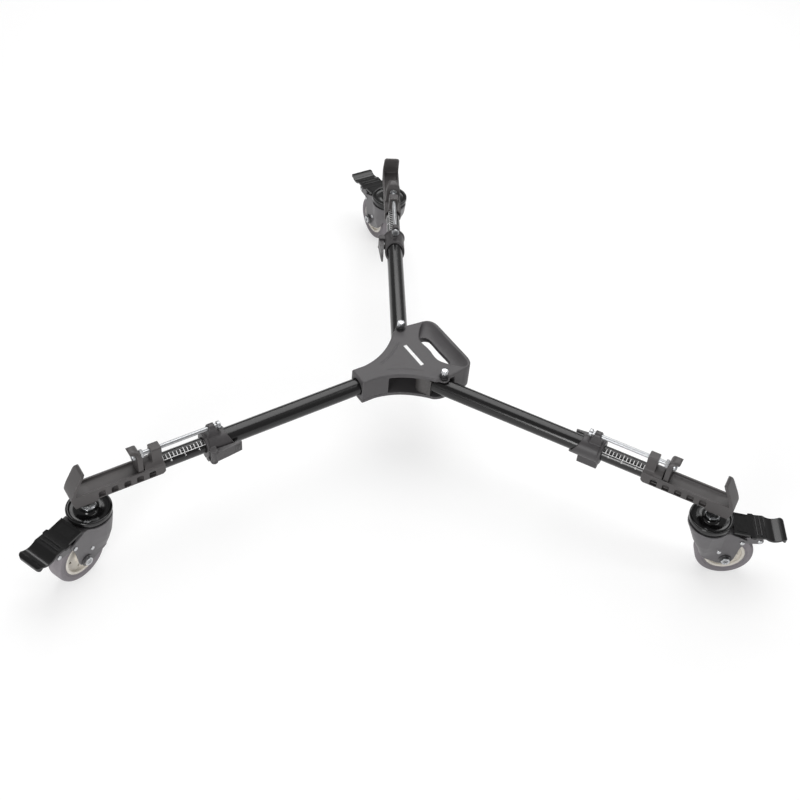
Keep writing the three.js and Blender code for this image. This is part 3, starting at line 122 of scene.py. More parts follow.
world = bpy.data.worlds.new("studio")
world.use_nodes = True
scene.world = world
sky = world.node_tree
sky.nodes.clear()
seen_by_camera = add_node(sky, "ShaderNodeLightPath").outputs["Is Camera Ray"]
sky_strength = add_node(sky, "ShaderNodeMapRange", [(0, seen_by_camera), ("To Min", world_light),
                        ("To Max", 1.0)])
sky_light = add_node(sky, "ShaderNodeBackground", [("Color", (1, 1, 1, 1)),
                     ("Strength", sky_strength.outputs[0])])
add_node(sky, "ShaderNodeOutputWorld", [("Surface", sky_light.outputs[0])])

bpy.ops.mesh.primitive_plane_add(size=floor_size)
floor = bpy.context.object
floor.name = "studio_floor"
floor_paint, tree = new_material("studio_floor")
pale = add_node(tree, "ShaderNodeBsdfDiffuse", [("Color", (floor_pale, floor_pale, floor_pale, 1))])
shade = add_node(tree, "ShaderNodeBsdfDiffuse", [("Color", (floor_shadow_share,) * 3 + (1,))])
glow = add_node(tree, "ShaderNodeEmission", [("Color", (1, 1, 1, 1)), ("Strength", floor_glow)])
white = add_node(tree, "ShaderNodeAddShader", [(0, shade.outputs[0]), (1, glow.outputs[0])])
mixed = add_node(tree, "ShaderNodeMixShader", [(0, seen_directly(tree)), (1, pale.outputs[0]),
                 (2, white.outputs[0])])
add_node(tree, "ShaderNodeOutputMaterial", [("Surface", mixed.outputs[0])])
floor.data.materials.append(floor_paint)


# Hub base plate: a flat moulding that closes the hub from below as far as the hand slot, in the hub's own
# outline. Three screws hold it, and the handle behind it stays open underneath.
gap = 0.0003
hub_bottom, hub_skirt, hub_ceiling, hub_top = 0.116, 0.122, 0.151, 0.157
below_hub, above_hub, beside_hub = 0.1, 0.18, 0.1
hub_edge, plate_edge = 0.0015, 0.0003
plate_top, plate_end = 0.1217, 0.046
slot_near, slot_far, slot_middle = 0.047, 0.065, 0.056
slot_near_half, slot_half = 0.027, 0.036
slot_steps = 12
screw_places = ((0, 0.0113), (-0.022, 0.0395), (0.022, 0.0395))
screw_radius, screw_head_radius, screw_head_depth = 0.002, 0.004, 0.0027

joints = {joint["name"]: joint for joint in frame["joints"]}
swivels = [Vector(joints["swivel_" + arm]["pos_m"]) for arm in ("fixed", "left", "right")]
hub_middle = sum(swivels, Vector()) / len(swivels)
hub_place = Matrix.Translation((hub_middle.x, hub_middle.y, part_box("hub_base_plate")[0].z - hub_bottom))


def deselect():
    if bpy.context.mode != "OBJECT":
        bpy.ops.object.mode_set(mode="OBJECT")
    bpy.ops.object.select_all(action="DESELECT")


def pick(*pieces):
    deselect()
    for one in pieces:
        one.select_set(True)
    bpy.context.view_layer.objects.active = pieces[0]


def bend(start, pull, end, steps=8):
    """Points along a round stretch from start to end, drawn towards pull. Start itself is left out."""
    points = []
    for i in range(1, steps + 1):
        t = i / steps
        points.append(tuple((1 - t) ** 2 * a + 2 * t * (1 - t) * b + t * t * c
                            for a, b, c in zip(start, pull, end)))
    return points


def arc(middle, radius, start, end, steps):
    """Points on a circle from one angle to another, in degrees, both ends included."""
    angles = [math.radians(start + (end - start) * i / steps) for i in range(steps + 1)]
    return [(middle[0] + radius * math.cos(a), middle[1] + radius * math.sin(a)) for a in angles]


def mirrored(half):
    """An outline closed by the mirror image of its right half. Points on the middle line stay single."""
    return half + [(-x, y) for x, y in reversed(half) if x]


def ring_through(corners, steps):
    """A smooth closed ring through a few corners."""
    ring = []
    count = len(corners)
    for i in range(count):
        a, b, c, d = (Vector(corners[(i + k) % count]) for k in (-1, 0, 1, 2))
        for j in range(steps):
            t = j / steps
            ring.append(tuple(0.5 * (2 * b + (c - a) * t + (2 * a - 5 * b + 4 * c - d) * t * t
                                     + (3 * b - a - 3 * c + d) * t ** 3)))
    return ring


def face_out(piece):
    pick(piece)
    bpy.ops.object.mode_set(mode="EDIT")
    bpy.ops.mesh.select_all(action="SELECT")
    bpy.ops.mesh.remove_doubles(threshold=1e-6)
    bpy.ops.mesh.delete_loose()
    bpy.ops.mesh.select_all(action="SELECT")
    bpy.ops.mesh.normals_make_consistent(inside=False)
    bpy.ops.object.mode_set(mode="OBJECT")
    return piece


def ring_stack(name, rings):
    """A closed skin over rings of as many points each, from the lowest to the highest."""
    deselect()
    bpy.ops.mesh.primitive_circle_add(vertices=len(rings[0]), radius=1, fill_type="NGON")
    piece = bpy.context.object
    piece.name = name
    for corner, place in zip(piece.data.vertices, rings[0]):
        corner.co = place
    for low, high in zip(rings, rings[1:]):
        bpy.ops.object.mode_set(mode="EDIT")
        bpy.ops.mesh.extrude_region_move()
        bpy.ops.object.mode_set(mode="OBJECT")
        for corner in piece.data.vertices:
            if corner.select:
                near = min(range(len(low)), key=lambda k: (corner.co - Vector(low[k])).length_squared)
                corner.co = high[near]
    return face_out(piece)


def blank(name, outline, low, high):
    """A slab cut to an outline, standing from one height to another."""
    return ring_stack(name, [[(x, y, z) for x, y in outline] for z in (low, high)])


def section_bar(name, outline, start, end):
    """A bar along X whose section is drawn across (Y) and up (Z)."""
    return ring_stack(name, [[(x, y, z) for y, z in outline] for x in (start, end)])


def side_plate(name, outline, near, far):
    """A plate across Y whose shape is drawn along (X) and up (Z)."""
    return ring_stack(name, [[(x, y, z) for x, z in outline] for y in (near, far)])


def turned(name, profile, steps=64):
    """A piece turned about Z from pairs of radius and height that close on themselves or on the axis."""
    deselect()
    bpy.ops.mesh.primitive_circle_add(vertices=len(profile), radius=1, fill_type="NOTHING")
    piece = bpy.context.object
    piece.name = name
    for corner, (radius, height) in zip(piece.data.vertices, profile):
        corner.co = (radius, 0, height)
    bpy.ops.object.mode_set(mode="EDIT")
    bpy.ops.mesh.select_all(action="SELECT")
    bpy.ops.mesh.spin(steps=steps, angle=math.tau, center=(0, 0, 0), axis=(0, 0, 1))
    bpy.ops.object.mode_set(mode="OBJECT")
    return face_out(piece)


def bar(name, radius, low, high, steps=48, soft=0.0):
    """A round bar about Z whose ends have a small chamfer."""
    return turned(name, [(0, low), (radius - soft, low), (radius, low + soft), (radius, high - soft),
                         (radius - soft, high), (0, high)], steps)


def moved(piece, matrix):
    piece.data.transform(matrix)
    piece.data.update()
    return piece


def at(x=0, y=0, z=0):
    return Matrix.Translation((x, y, z))


def with_modifier(piece, kind, **settings):
    pick(piece)
    modifier = piece.modifiers.new(kind.lower(), kind)
    for key, value in settings.items():
        setattr(modifier, key, value)
    bpy.ops.object.modifier_apply(modifier=modifier.name)
    return piece


def shaped(piece, operation, tools):
    for tool in tools:
        with_modifier(piece, "BOOLEAN", object=tool, operation=operation, solver="EXACT")
        bpy.data.objects.remove(tool)
    return piece


def cut_away(piece, *tools):
    return shaped(piece, "DIFFERENCE", tools)


def built_up(piece, *tools):
    return shaped(piece, "UNION", tools)


def kept_inside(piece, *tools):
    return shaped(piece, "INTERSECT", tools)


def moulded(piece, grain, passes):
    """Gives a piece the soft edges and inner corners of a moulding or casting."""
    with_modifier(piece, "REMESH", mode="VOXEL", voxel_size=grain, use_smooth_shade=True)
    return with_modifier(piece, "SMOOTH", factor=0.5, iterations=passes)


def fitted(piece, name, body, nodes, material):
    """Hands a finished piece to the body that it moves with, in the place of its CAD nodes."""
    piece.name = name
    piece.data.name = name
    piece.data.materials.clear()
    piece.data.materials.append(material)
    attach(piece, body)
    if nodes:
        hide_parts(*nodes)
    return piece


def surface_group():
    """Grain, patches of tone, and worn edges for every finish on the dolly."""
    group = bpy.data.node_groups.new("grain_and_wear", "ShaderNodeTree")
    for label, value in (("Grain Per Metre", 900.0), ("Grain Depth", 0.0001), ("Patches Per Metre", 14.0),
                         ("Roughness", 0.5), ("Roughness Spread", 0.1), ("Edge Start", 0.53),
                         ("Edge End", 0.6)):
        socket = group.interface.new_socket(label, in_out="INPUT", socket_type="NodeSocketFloat")
        socket.default_value = value
    for label, kind in (("Tone", "NodeSocketFloat"), ("Edge", "NodeSocketFloat"),
                        ("Roughness", "NodeSocketFloat"), ("Normal", "NodeSocketVector")):
        group.interface.new_socket(label, in_out="OUTPUT", socket_type=kind)
    given = add_node(group, "NodeGroupInput").outputs
    place = add_node(group, "ShaderNodeTexCoord").outputs["Object"]
    grain = add_node(group, "ShaderNodeTexNoise", [("Vector", place), ("Scale", given["Grain Per Metre"]),
                     ("Detail", 3.0), ("Roughness", 0.6)])
    bump = add_node(group, "ShaderNodeBump", [("Height", grain.outputs["Fac"]),
                    ("Distance", given["Grain Depth"])])
    patches = add_node(group, "ShaderNodeTexNoise", [("Vector", place),
                       ("Scale", given["Patches Per Metre"]), ("Detail", 5.0), ("Roughness", 0.65)])
    tone = add_node(group, "ShaderNodeMapRange", [(0, patches.outputs["Fac"]), ("From Min", 0.32),
                    ("From Max", 0.68)])
    spread = add_node(group, "ShaderNodeMath", [(0, tone.outputs[0]), (1, given["Roughness Spread"]),
                      (2, given["Roughness"])], operation="MULTIPLY_ADD")
    pointed = add_node(group, "ShaderNodeNewGeometry").outputs["Pointiness"]
    edge = add_node(group, "ShaderNodeMapRange", [(0, pointed), ("From Min", given["Edge Start"]),
                    ("From Max", given["Edge End"])])
    broken = add_node(group, "ShaderNodeTexNoise", [("Vector", place), ("Scale", 260.0),
                      ("Detail", 4.0), ("Roughness", 0.7)])
    chips = add_node(group, "ShaderNodeMapRange", [(0, broken.outputs["Fac"]), ("From Min", 0.4),
                     ("From Max", 0.62)])
    worn = add_node(group, "ShaderNodeMath", [(0, edge.outputs[0]), (1, chips.outputs[0])],
                    operation="MULTIPLY")
    add_node(group, "NodeGroupOutput", [("Tone", tone.outputs[0]), ("Edge", worn.outputs[0]),
             ("Roughness", spread.outputs[0]), ("Normal", bump.outputs[0])])
    return group


grain_and_wear = surface_group()


def surface(name, dark, light, worn, roughness, spread, grain, depth, metallic=0.0, specular=0.5,
            patches=14.0, edge=(0.53, 0.6)):
    """A finish whose colour drifts between two tones and pales where its edges are rubbed."""
    material, tree = new_material(name)
    wear = add_node(tree, "ShaderNodeGroup", node_tree=grain_and_wear)
    for socket, value in (("Grain Per Metre", grain), ("Grain Depth", depth), ("Roughness", roughness),
                          ("Roughness Spread", spread), ("Patches Per Metre", patches),
                          ("Edge Start", edge[0]), ("Edge End", edge[1])):
        wear.inputs[socket].default_value = value
    drift = add_node(tree, "ShaderNodeMix", [(0, wear.outputs["Tone"]), (6, (*dark, 1)), (7, (*light, 1))],
                     data_type="RGBA")
    rubbed = add_node(tree, "ShaderNodeMix", [(0, wear.outputs["Edge"]), (6, drift.outputs[2]),
                      (7, (*worn, 1))], data_type="RGBA")
    shader = add_node(tree, "ShaderNodeBsdfPrincipled", [
        ("Base Color", rubbed.outputs[2]), ("Metallic", metallic), ("Roughness", wear.outputs["Roughness"]),
        ("Normal", wear.outputs["Normal"]), ("Specular IOR Level", specular)])
    add_node(tree, "ShaderNodeOutputMaterial", [("Surface", shader.outputs[0])])
    return material


hub_moulding = surface("hub_moulding", dark=(0.072, 0.068, 0.071), light=(0.090, 0.086, 0.089),
                       worn=(0.21, 0.205, 0.208), roughness=0.5, spread=0.1, grain=1100.0, depth=0.00006,
                       specular=0.45, edge=(0.515, 0.57))


def hub_outline(inset):
    """The hub from above: a socket at the front, concave flanks, and the handle's round corners."""
    side = [(0.0156, -0.075), (0.0156, -0.055)]
    side += bend(side[-1], (0.020, -0.013), (0.058, 0.020), 14)
    side += bend(side[-1], (0.065, 0.032), (0.061, 0.047), 6)
    side += [(0.0585, 0.068)]
    side += bend(side[-1], (0.0585, 0.0885), (0.037, 0.0885), 10)
    ring = mirrored(side)
    inner = []
    for i, point in enumerate(ring):
        before, after = Vector(ring[i - 1]), Vector(ring[(i + 1) % len(ring)])
        run = (after - before).normalized()
        inner.append((point[0] - run.y * inset, point[1] + run.x * inset))
    return inner


def slot_outline():
    return ring_through(mirrored([(0, slot_near), (slot_near_half, slot_near), (slot_half, slot_middle),
                                  (slot_near_half, slot_far), (0, slot_far)]), slot_steps)


def rounded_slab(name, low, high, soft_low, soft_high, steps):
    """The hub's outline with its lower and upper edges rounded over."""
    turns = [math.pi / 2 * i / steps for i in range(steps + 1)]
    levels = [(low + soft_low * (1 - math.sin(t)), soft_low * (1 - math.cos(t))) for t in reversed(turns)]
    levels += [(high - soft_high * (1 - math.sin(t)), soft_high * (1 - math.cos(t))) for t in turns]
    return ring_stack(name, [[(x, y, z) for x, y in hub_outline(inset)] for z, inset in levels])


base_plate = rounded_slab("base_plate", hub_bottom, plate_top, hub_edge, plate_edge, 3)
past_plate = [(-beside_hub, plate_end), (beside_hub, plate_end), (beside_hub, beside_hub),
              (-beside_hub, beside_hub)]
cut_away(base_plate, blank("past_plate", past_plate, below_hub, above_hub))
screw_seat = [(0, below_hub), (screw_head_radius + gap, below_hub),
              (screw_head_radius + gap, hub_bottom + screw_head_depth),
              (screw_radius + gap, hub_bottom + screw_head_depth), (screw_radius + gap, above_hub),
              (0, above_hub)]
for x, y in screw_places:
    cut_away(base_plate, moved(turned("screw_seat", screw_seat, 24), at(x, y)))
moulded(base_plate, grain=0.0009, passes=4)
fitted(moved(base_plate, hub_place), "hub_base_plate_moulding", "hub", ["hub_base_plate"],
       hub_moulding)


# Hub body: one deep moulding of dark grey plastic, with a socket for the fixed arm, open windows at the
# sides for the folding arms, and a hand slot in a scooped dish. Two round bosses carry the pull plungers.
hub_top_edge = 0.0028
dish_far, dish_half, dish_corner_half, dish_middle, dish_depth = 0.0825, 0.054, 0.046, 0.06975, 0.011
# How far each ring of the dish lies from the rim towards the slot, and how deep.
dish_curve = ((1.0, 1.0), (0.84, 0.97), (0.66, 0.88), (0.44, 0.7), (0.24, 0.47), (0.1, 0.22), (0.03, 0.06),
              (0.0, -0.02), (-0.02, -0.3))
tube_height, tube_radius = 0.137, 0.0125
socket_front, socket_back = -0.082, -0.032
plunger_reach = 0.0676
boss_radius, boss_top, boss_edge = 0.0086, 0.1545, 0.0012
bush_radius, bush_hole_low = 0.006, 0.15
swept_half, swept_far, swept_front = 0.0145, 0.075, -0.034
hollow_offset, hollow_side, hollow_bend, hollow_end, hollow_corner = 0.0185, 0.0545, 0.068, 0.0845, 0.037
handle_ceiling = 0.140
screw_post_radius, screw_post_top, screw_hole_top = 0.0052, 0.152, 0.1303
line_course = ((0.0058, -0.041), (0.009, -0.026), (0.016, -0.009), (0.0288, 0.0087), (0.0404, 0.0217))
line_half_width, line_depth = 0.001, 0.0013
arm_slant = math.radians(30)
folding_turns = {"left": math.radians(150), "right": math.radians(30)}
arm_turns = {"fixed": math.radians(-90), **folding_turns}
along_y = Matrix.Rotation(-math.pi / 2, 4, "X")


def on_arm(arm, reach):
    return at(reach * math.cos(arm_turns[arm]), reach * math.sin(arm_turns[arm]))


def dish():
    """The scoop round the slot: its far wall and ends curve down, and its near wall drops straight."""
    rim = ring_through(mirrored([(0, slot_near - gap), (slot_near_half, slot_near - gap),
                                 (dish_half, dish_middle), (dish_corner_half, dish_far), (0, dish_far)]),
                       slot_steps)
    rings = []
    for inward_share, depth_share in dish_curve:
        height = hub_top - dish_depth * depth_share
        rings.append([(a[0] + (b[0] - a[0]) * inward_share, a[1] + (b[1] - a[1]) * inward_share, height)
                      for a, b in zip(rim, slot_outline())])
    return ring_stack("dish", rings)


def swept_space():
    """Where the knuckles and the folding tubes turn, between the ceiling and the base plate."""
    flank = swept_half / math.cos(arm_slant)
    rise_at_far = flank + swept_far * math.tan(arm_slant)
    return blank("swept_space", [(0, flank), (-swept_far, rise_at_far), (-swept_far, swept_front),
                                 (swept_far, swept_front), (swept_far, rise_at_far)], below_hub, hub_ceiling)


def handle_hollow():
    """The hollow behind the arms and inside the handle, which is open past the end of the base plate."""
    start = hollow_offset / math.cos(arm_slant)
    half = [(0, start), (hollow_side, start + hollow_side * math.tan(arm_slant)), (hollow_side, hollow_bend)]
    half += bend(half[-1], (hollow_side, hollow_end), (hollow_corner, hollow_end), 8)
    return blank("handle_hollow", mirrored(half), below_hub, handle_ceiling)


def step_line(side):
    """A fine groove that follows the concave flank on one side, a finger's width inside the edge."""
    course = [(side * x, y) for x, y in line_course]
    smooth = []
    for a, b, c in zip(course, course[1:], course[2:]):
        smooth += bend(((a[0] + b[0]) / 2, (a[1] + b[1]) / 2), b, ((b[0] + c[0]) / 2, (b[1] + c[1]) / 2), 6)
    left_edge, right_edge = [], []
    for i, point in enumerate(smooth):
        before, after = Vector(smooth[max(i - 1, 0)]), Vector(smooth[min(i + 1, len(smooth) - 1)])
        across = (after - before).normalized() * line_half_width
        left_edge.append((point[0] - across.y, point[1] + across.x))
        right_edge.append((point[0] + across.y, point[1] - across.x))
    return blank("step_line", left_edge + right_edge[::-1], hub_top - line_depth, above_hub)


hub_body = rounded_slab("hub_body", hub_bottom, hub_top, hub_edge, hub_top_edge, 4)
for arm in folding_turns:
    built_up(hub_body, moved(bar("boss", boss_radius, hub_ceiling, boss_top, 48, boss_edge),
                             on_arm(arm, plunger_reach)))
plate_room = [(-beside_hub, -beside_hub), (beside_hub, -beside_hub), (beside_hub, plate_end + gap),
              (-beside_hub, plate_end + gap)]
cut_away(hub_body, blank("plate_room", plate_room, below_hub, hub_skirt), swept_space(), handle_hollow(),
         blank("hand_slot", slot_outline(), below_hub, above_hub), dish())
for x, y in screw_places:
    post = bar("screw_post", screw_post_radius, hub_skirt, screw_post_top, 32)
    built_up(hub_body, moved(post, at(x, y)))
    cut_away(hub_body, moved(bar("screw_hole", screw_radius + gap, below_hub, screw_hole_top, 32), at(x, y)))
socket = bar("socket", tube_radius + gap, socket_front, socket_back)
cut_away(hub_body, moved(socket, at(0, 0, tube_height) @ along_y))
for arm in folding_turns:
    cut_away(hub_body, moved(bar("bush_hole", bush_radius + gap, bush_hole_low, above_hub),
                             on_arm(arm, plunger_reach)))
cut_away(hub_body, step_line(1), step_line(-1))
moulded(hub_body, grain=0.0009, passes=5)
fitted(moved(hub_body, hub_place), "hub_body_moulding", "hub", ["hub_body"], hub_moulding)


# Print on the hub: one plain white bar, pad printed across the middle of the top.
print_half_length, print_half_width, print_middle = 0.0235, 0.0026, 0.0195
print_thickness, print_depth = 0.00012, 0.0005
white_print = surface("white_print", dark=(0.72, 0.72, 0.72), light=(0.86, 0.86, 0.86), worn=(0.9, 0.9, 0.9),
                      roughness=0.45, spread=0.1, grain=2500.0, depth=0.00002)
print_ring = [(sx * print_half_length, print_middle + sy * print_half_width)
              for sx, sy in ((-1, -1), (1, -1), (1, 1), (-1, 1))]
hub_print = blank("hub_print", print_ring, hub_top - print_depth, hub_top + print_thickness)
fitted(moved(hub_print, hub_place), "hub_print", "hub", [], white_print)


# Base screws: three countersunk steel screws with cross recesses, driven up through the base plate.
screw_rim, screw_neck, screw_length = 0.0008, 0.0024, 0.014
cross_half, cross_wing_half, cross_depth = 0.0022, 0.0004, 0.0014
bright_steel = surface("bright_steel", dark=(0.43, 0.44, 0.455), light=(0.54, 0.55, 0.565),
                       worn=(0.7, 0.7, 0.7), roughness=0.16, spread=0.12, grain=1800.0, depth=0.000002,
                       metallic=1.0, patches=30.0)


def smooth_sides(piece, angle=35):
    pick(piece)
    bpy.ops.object.shade_smooth_by_angle(angle=math.radians(angle))
    return piece


for number, (x, y) in enumerate(screw_places, 1):
    screw = turned("screw", [(0, hub_bottom + gap), (screw_head_radius, hub_bottom + gap),
                             (screw_head_radius, hub_bottom + screw_rim),
                             (screw_radius, hub_bottom + screw_neck),
                             (screw_radius, hub_bottom + screw_length), (0, hub_bottom + screw_length)], 32)
    for turn in (0, math.pi / 2):
        wings = [(-cross_half, -cross_wing_half), (cross_half, -cross_wing_half),
                 (cross_half, cross_wing_half), (-cross_half, cross_wing_half)]
        cross = blank("cross", wings, below_hub, hub_bottom + cross_depth)
        cut_away(screw, moved(cross, Matrix.Rotation(turn, 4, "Z")))
    smooth_sides(moved(screw, hub_place @ at(x, y)))
    fitted(screw, f"base_screw_{number}_turned", "hub", [f"base_screw_{number}"],
           bright_steel)


# Knuckles: a cast grey block on each pivot pin, rounded behind the pin, with a spigot that runs into the
# outer tube. Pins and springs stay hidden inside the hub and only take their finish.
pivot_reach, knuckle_front, knuckle_half, knuckle_round = 0.040, 0.0543, 0.0134, 0.014
knuckle_low, knuckle_high = 0.1223, 0.1505
pivot_hole_radius = 0.0043
spigot_radius, spigot_start, spigot_end = 0.0110, 0.047, 0.092
knuckle_metal = surface("knuckle_metal", dark=(0.06, 0.057, 0.056), light=(0.08, 0.076, 0.075),
                        worn=(0.09, 0.085, 0.084), roughness=0.5, spread=0.1, grain=900.0, depth=0.00003,
                        metallic=0.15)
arm_place = {arm: hub_place @ Matrix.Rotation(turn, 4, "Z") for arm, turn in arm_turns.items()}
folding_place = {arm: arm_place[arm] for arm in folding_turns}


def lengthwise(piece, height=tube_height):
    """Lays a piece that was made about Z along its arm."""
    return moved(piece, at(0, 0, height) @ Matrix.Rotation(math.pi / 2, 4, "Y"))


def eased(piece, width, segments, angle):
    """Breaks the sharp edges of a machined or pressed piece."""
    pick(piece)
    bpy.ops.object.shade_smooth()
    return with_modifier(piece, "BEVEL", width=width, segments=segments, limit_method="ANGLE",
                         angle_limit=math.radians(angle), harden_normals=True, use_clamp_overlap=True)


def fitted_to_each(piece, places, name, body, node, material):
    """Fits a copy with its own mesh at every arm's place. The braces in a name stand for the arm."""
    for arm, place in places.items():
        other = piece.copy()
        other.data = piece.data.copy()
        scene.collection.objects.link(other)
        rides_on = "hub" if (arm, body) == ("fixed", "arm_{}") else body.format(arm)
        fitted(moved(other, place), name.format(arm), rides_on, [node.format(arm)] if node else [],
               material)
    bpy.data.objects.remove(piece)


knuckle = blank("knuckle", [(pivot_reach, -knuckle_half), (knuckle_front, -knuckle_half),
                            (knuckle_front, knuckle_half), (pivot_reach, knuckle_half)],
                knuckle_low, knuckle_high)
built_up(knuckle, moved(bar("knuckle_end", knuckle_round, knuckle_low, knuckle_high), at(pivot_reach)))
cut_away(knuckle, moved(bar("pivot_hole", pivot_hole_radius, below_hub, above_hub), at(pivot_reach)))
built_up(knuckle, lengthwise(bar("spigot", spigot_radius, spigot_start, spigot_end)))
eased(knuckle, width=0.0008, segments=2, angle=40)
fitted_to_each(knuckle, folding_place, "knuckle_{}_cast", "arm_{}", "knuckle_{}",
               knuckle_metal)
for arm in folding_turns:
    for node in (f"pivot_pin_{arm}", f"plunger_spring_{arm}"):
        frame["nodes"][node].data.materials.clear()
        frame["nodes"][node].data.materials.append(bright_steel)


# Pull plungers: a steel knob with straight flutes on a stem, over a threaded bush with a thin flange. The
# bush is black-plated steel and stands up from the boss at the hub's corner.
knob_radius, knob_flutes, flute_depth, flute_points = 0.0055, 14, 0.00045, 6
knob_levels = ((0.8, 0.162), (0.93, 0.1623), (1, 0.163), (1, 0.1687), (0.93, 0.1696), (0.8, 0.17),
               (0.3, 0.17))
bush_profile = [(0.0046, 0.1523), (0.006, 0.1523), (0.006, 0.1573), (0.0071, 0.1573), (0.0074, 0.1576),
                (0.0074, 0.1582), (0.0071, 0.1585), (0.006, 0.1585), (0.006, 0.1609), (0.0055, 0.1615),
                (0.0019, 0.1615), (0.0019, 0.16), (0.0046, 0.16)]
pin_profile = [(0, 0.15), (0.003, 0.15), (0.003, 0.1523), (0.0041, 0.1523), (0.0041, 0.1533),
               (0.0016, 0.1533), (0.0016, 0.163), (0, 0.163)]
black_plate = surface("black_plate", dark=(0.02, 0.02, 0.021), light=(0.035, 0.034, 0.035),
                      worn=(0.2, 0.2, 0.2), roughness=0.35, spread=0.1, grain=1500.0, depth=0.00003,
                      metallic=0.5)


def side_by_side(piece, *others):
    """One piece made of several shells that only touch."""
    pick(piece, *others)
    bpy.ops.object.join()
    return piece


def fluted(radius_share, height):
    ring = []
    for i in range(knob_flutes * flute_points):
        angle = math.tau * i / (knob_flutes * flute_points)
        radius = (knob_radius - flute_depth * abs(math.sin(knob_flutes * angle / 2))) * radius_share
        ring.append((radius * math.cos(angle), radius * math.sin(angle), height))
    return ring


plunger_place = {arm: place @ at(plunger_reach) for arm, place in folding_place.items()}
knob = ring_stack("knob", [fluted(*level) for level in knob_levels])
plunger = smooth_sides(side_by_side(knob, turned("pin", pin_profile, 32)), 40)
fitted_to_each(plunger, plunger_place, "plunger_{}_fluted", "plunger_{}", "plunger_{}",
               bright_steel)
fitted_to_each(smooth_sides(turned("bush", bush_profile)), plunger_place, "plunger_bush_{}_turned", "hub",
               "plunger_bush_{}", black_plate)


# Outer tubes: drawn steel in gloss black enamel. The fixed one is clamped in the hub's socket, and the
# folding ones are pushed on to the knuckle's spigot and have a hole for the plunger's pin.
outer_bore, outer_end = 0.0113, 0.300
outer_starts = {"fixed": 0.030, "left": 0.0546, "right": 0.0546}
lock_hole_radius, lock_hole_low = 0.0033, 0.14
tube_edge = 0.0003
tube_enamel = surface("tube_enamel", dark=(0.004, 0.0037, 0.004), light=(0.0065, 0.006, 0.0063),
                      worn=(0.008, 0.0075, 0.008), roughness=0.2, spread=0.04, grain=700.0, depth=0.000001)


def tube(name, radius, bore, start, end):
    return lengthwise(turned(name, [(bore, start), (radius - tube_edge, start), (radius, start + tube_edge),
                                    (radius, end - tube_edge), (radius - tube_edge, end), (bore, end)], 96))


for arm, start in outer_starts.items():
    outer = tube("outer", tube_radius, outer_bore, start, outer_end)
    if arm in folding_turns:
        cut_away(outer, moved(bar("lock_hole", lock_hole_radius, lock_hole_low, above_hub),
                              at(plunger_reach)))
    smooth_sides(moved(outer, arm_place[arm]))
    body = "hub" if arm == "fixed" else f"arm_{arm}"
    fitted(outer, f"outer_tube_{arm}_drawn", body, [f"outer_tube_{arm}"], tube_enamel)


# Inner tubes: the same enamel, a size smaller, sliding inside the outer ones. A white rule is printed along
# the side of the top, with short ticks up from a line and plain numbers under every fourth tick.
inner_radius, inner_bore = 0.011, 0.0096
inner_start, inner_end = 0.255, 0.402
rule_start, rule_end, rule_line = 0.262, 0.376, 0.0008
tick_pitch, tick_width, tick_long, tick_short = 0.005, 0.0011, 0.0078, 0.0062
ticks_per_number = 4
rule_turn = math.radians(40)
rule_lift, rule_depth = 0.00006, 0.0003
number_size, number_thickness, number_drop, number_height_share = 0.0056, 0.00013, 0.0014, 0.7
strip_step = 0.001
rule_sides = {"fixed": 1, "left": 1, "right": -1}


def wrapped(piece, side):
    """Lays a flat print on the tube: Y becomes the way round from the top, towards one side."""
    for corner in piece.data.vertices:
        radius = inner_radius + rule_lift + corner.co.z
        angle = rule_turn - corner.co.y / inner_radius
        corner.co = (corner.co.x, side * radius * math.sin(angle), tube_height + radius * math.cos(angle))
    return piece


def printed_strip(x0, x1, y0, y1):
    rows = max(1, round((y1 - y0) / strip_step))
    rings = []
    for i in range(rows + 1):
        y = y0 + (y1 - y0) * i / rows
        rings.append([(x0, y, -rule_depth), (x1, y, -rule_depth), (x1, y, 0), (x0, y, 0)])
    return ring_stack("strip", rings)


def printed_number(number, x, side):
    deselect()
    bpy.ops.object.text_add()
    text = bpy.context.object
    text.data.body = str(number)
    text.data.size = number_size
    text.data.align_x = "CENTER"
    text.data.extrude = number_thickness
    bpy.ops.object.convert(target="MESH")
    piece = bpy.context.object
    with_modifier(piece, "REMESH", mode="VOXEL", voxel_size=number_thickness)
    facing = Matrix.Scale(-side, 4, (1, 0, 0))
    below = at(x, -number_drop - number_size * number_height_share, -number_thickness / 2)
    return moved(piece, below @ facing)


for arm in arm_turns:
    inner = tube("inner", inner_radius, inner_bore, inner_start, inner_end)
    fitted(smooth_sides(moved(inner, arm_place[arm])), f"inner_tube_{arm}_drawn", f"extension_{arm}",
           [f"inner_tube_{arm}"], tube_enamel)
    strips = [printed_strip(rule_start, rule_end, -rule_line, 0)]
    for i in range(round((rule_end - rule_start) / tick_pitch)):
        x = rule_start + (i + 0.5) * tick_pitch
        reach = tick_short if i % ticks_per_number else tick_long
        strips.append(printed_strip(x - tick_width / 2, x + tick_width / 2, 0, reach))
        if i % ticks_per_number == 0:
            strips.append(printed_number(i // ticks_per_number + 1, x, rule_sides[arm]))
    rule = wrapped(side_by_side(*strips), rule_sides[arm])
    face_out(moved(rule, arm_place[arm]))
    fitted(rule, f"rule_print_{arm}", f"extension_{arm}", [], white_print)


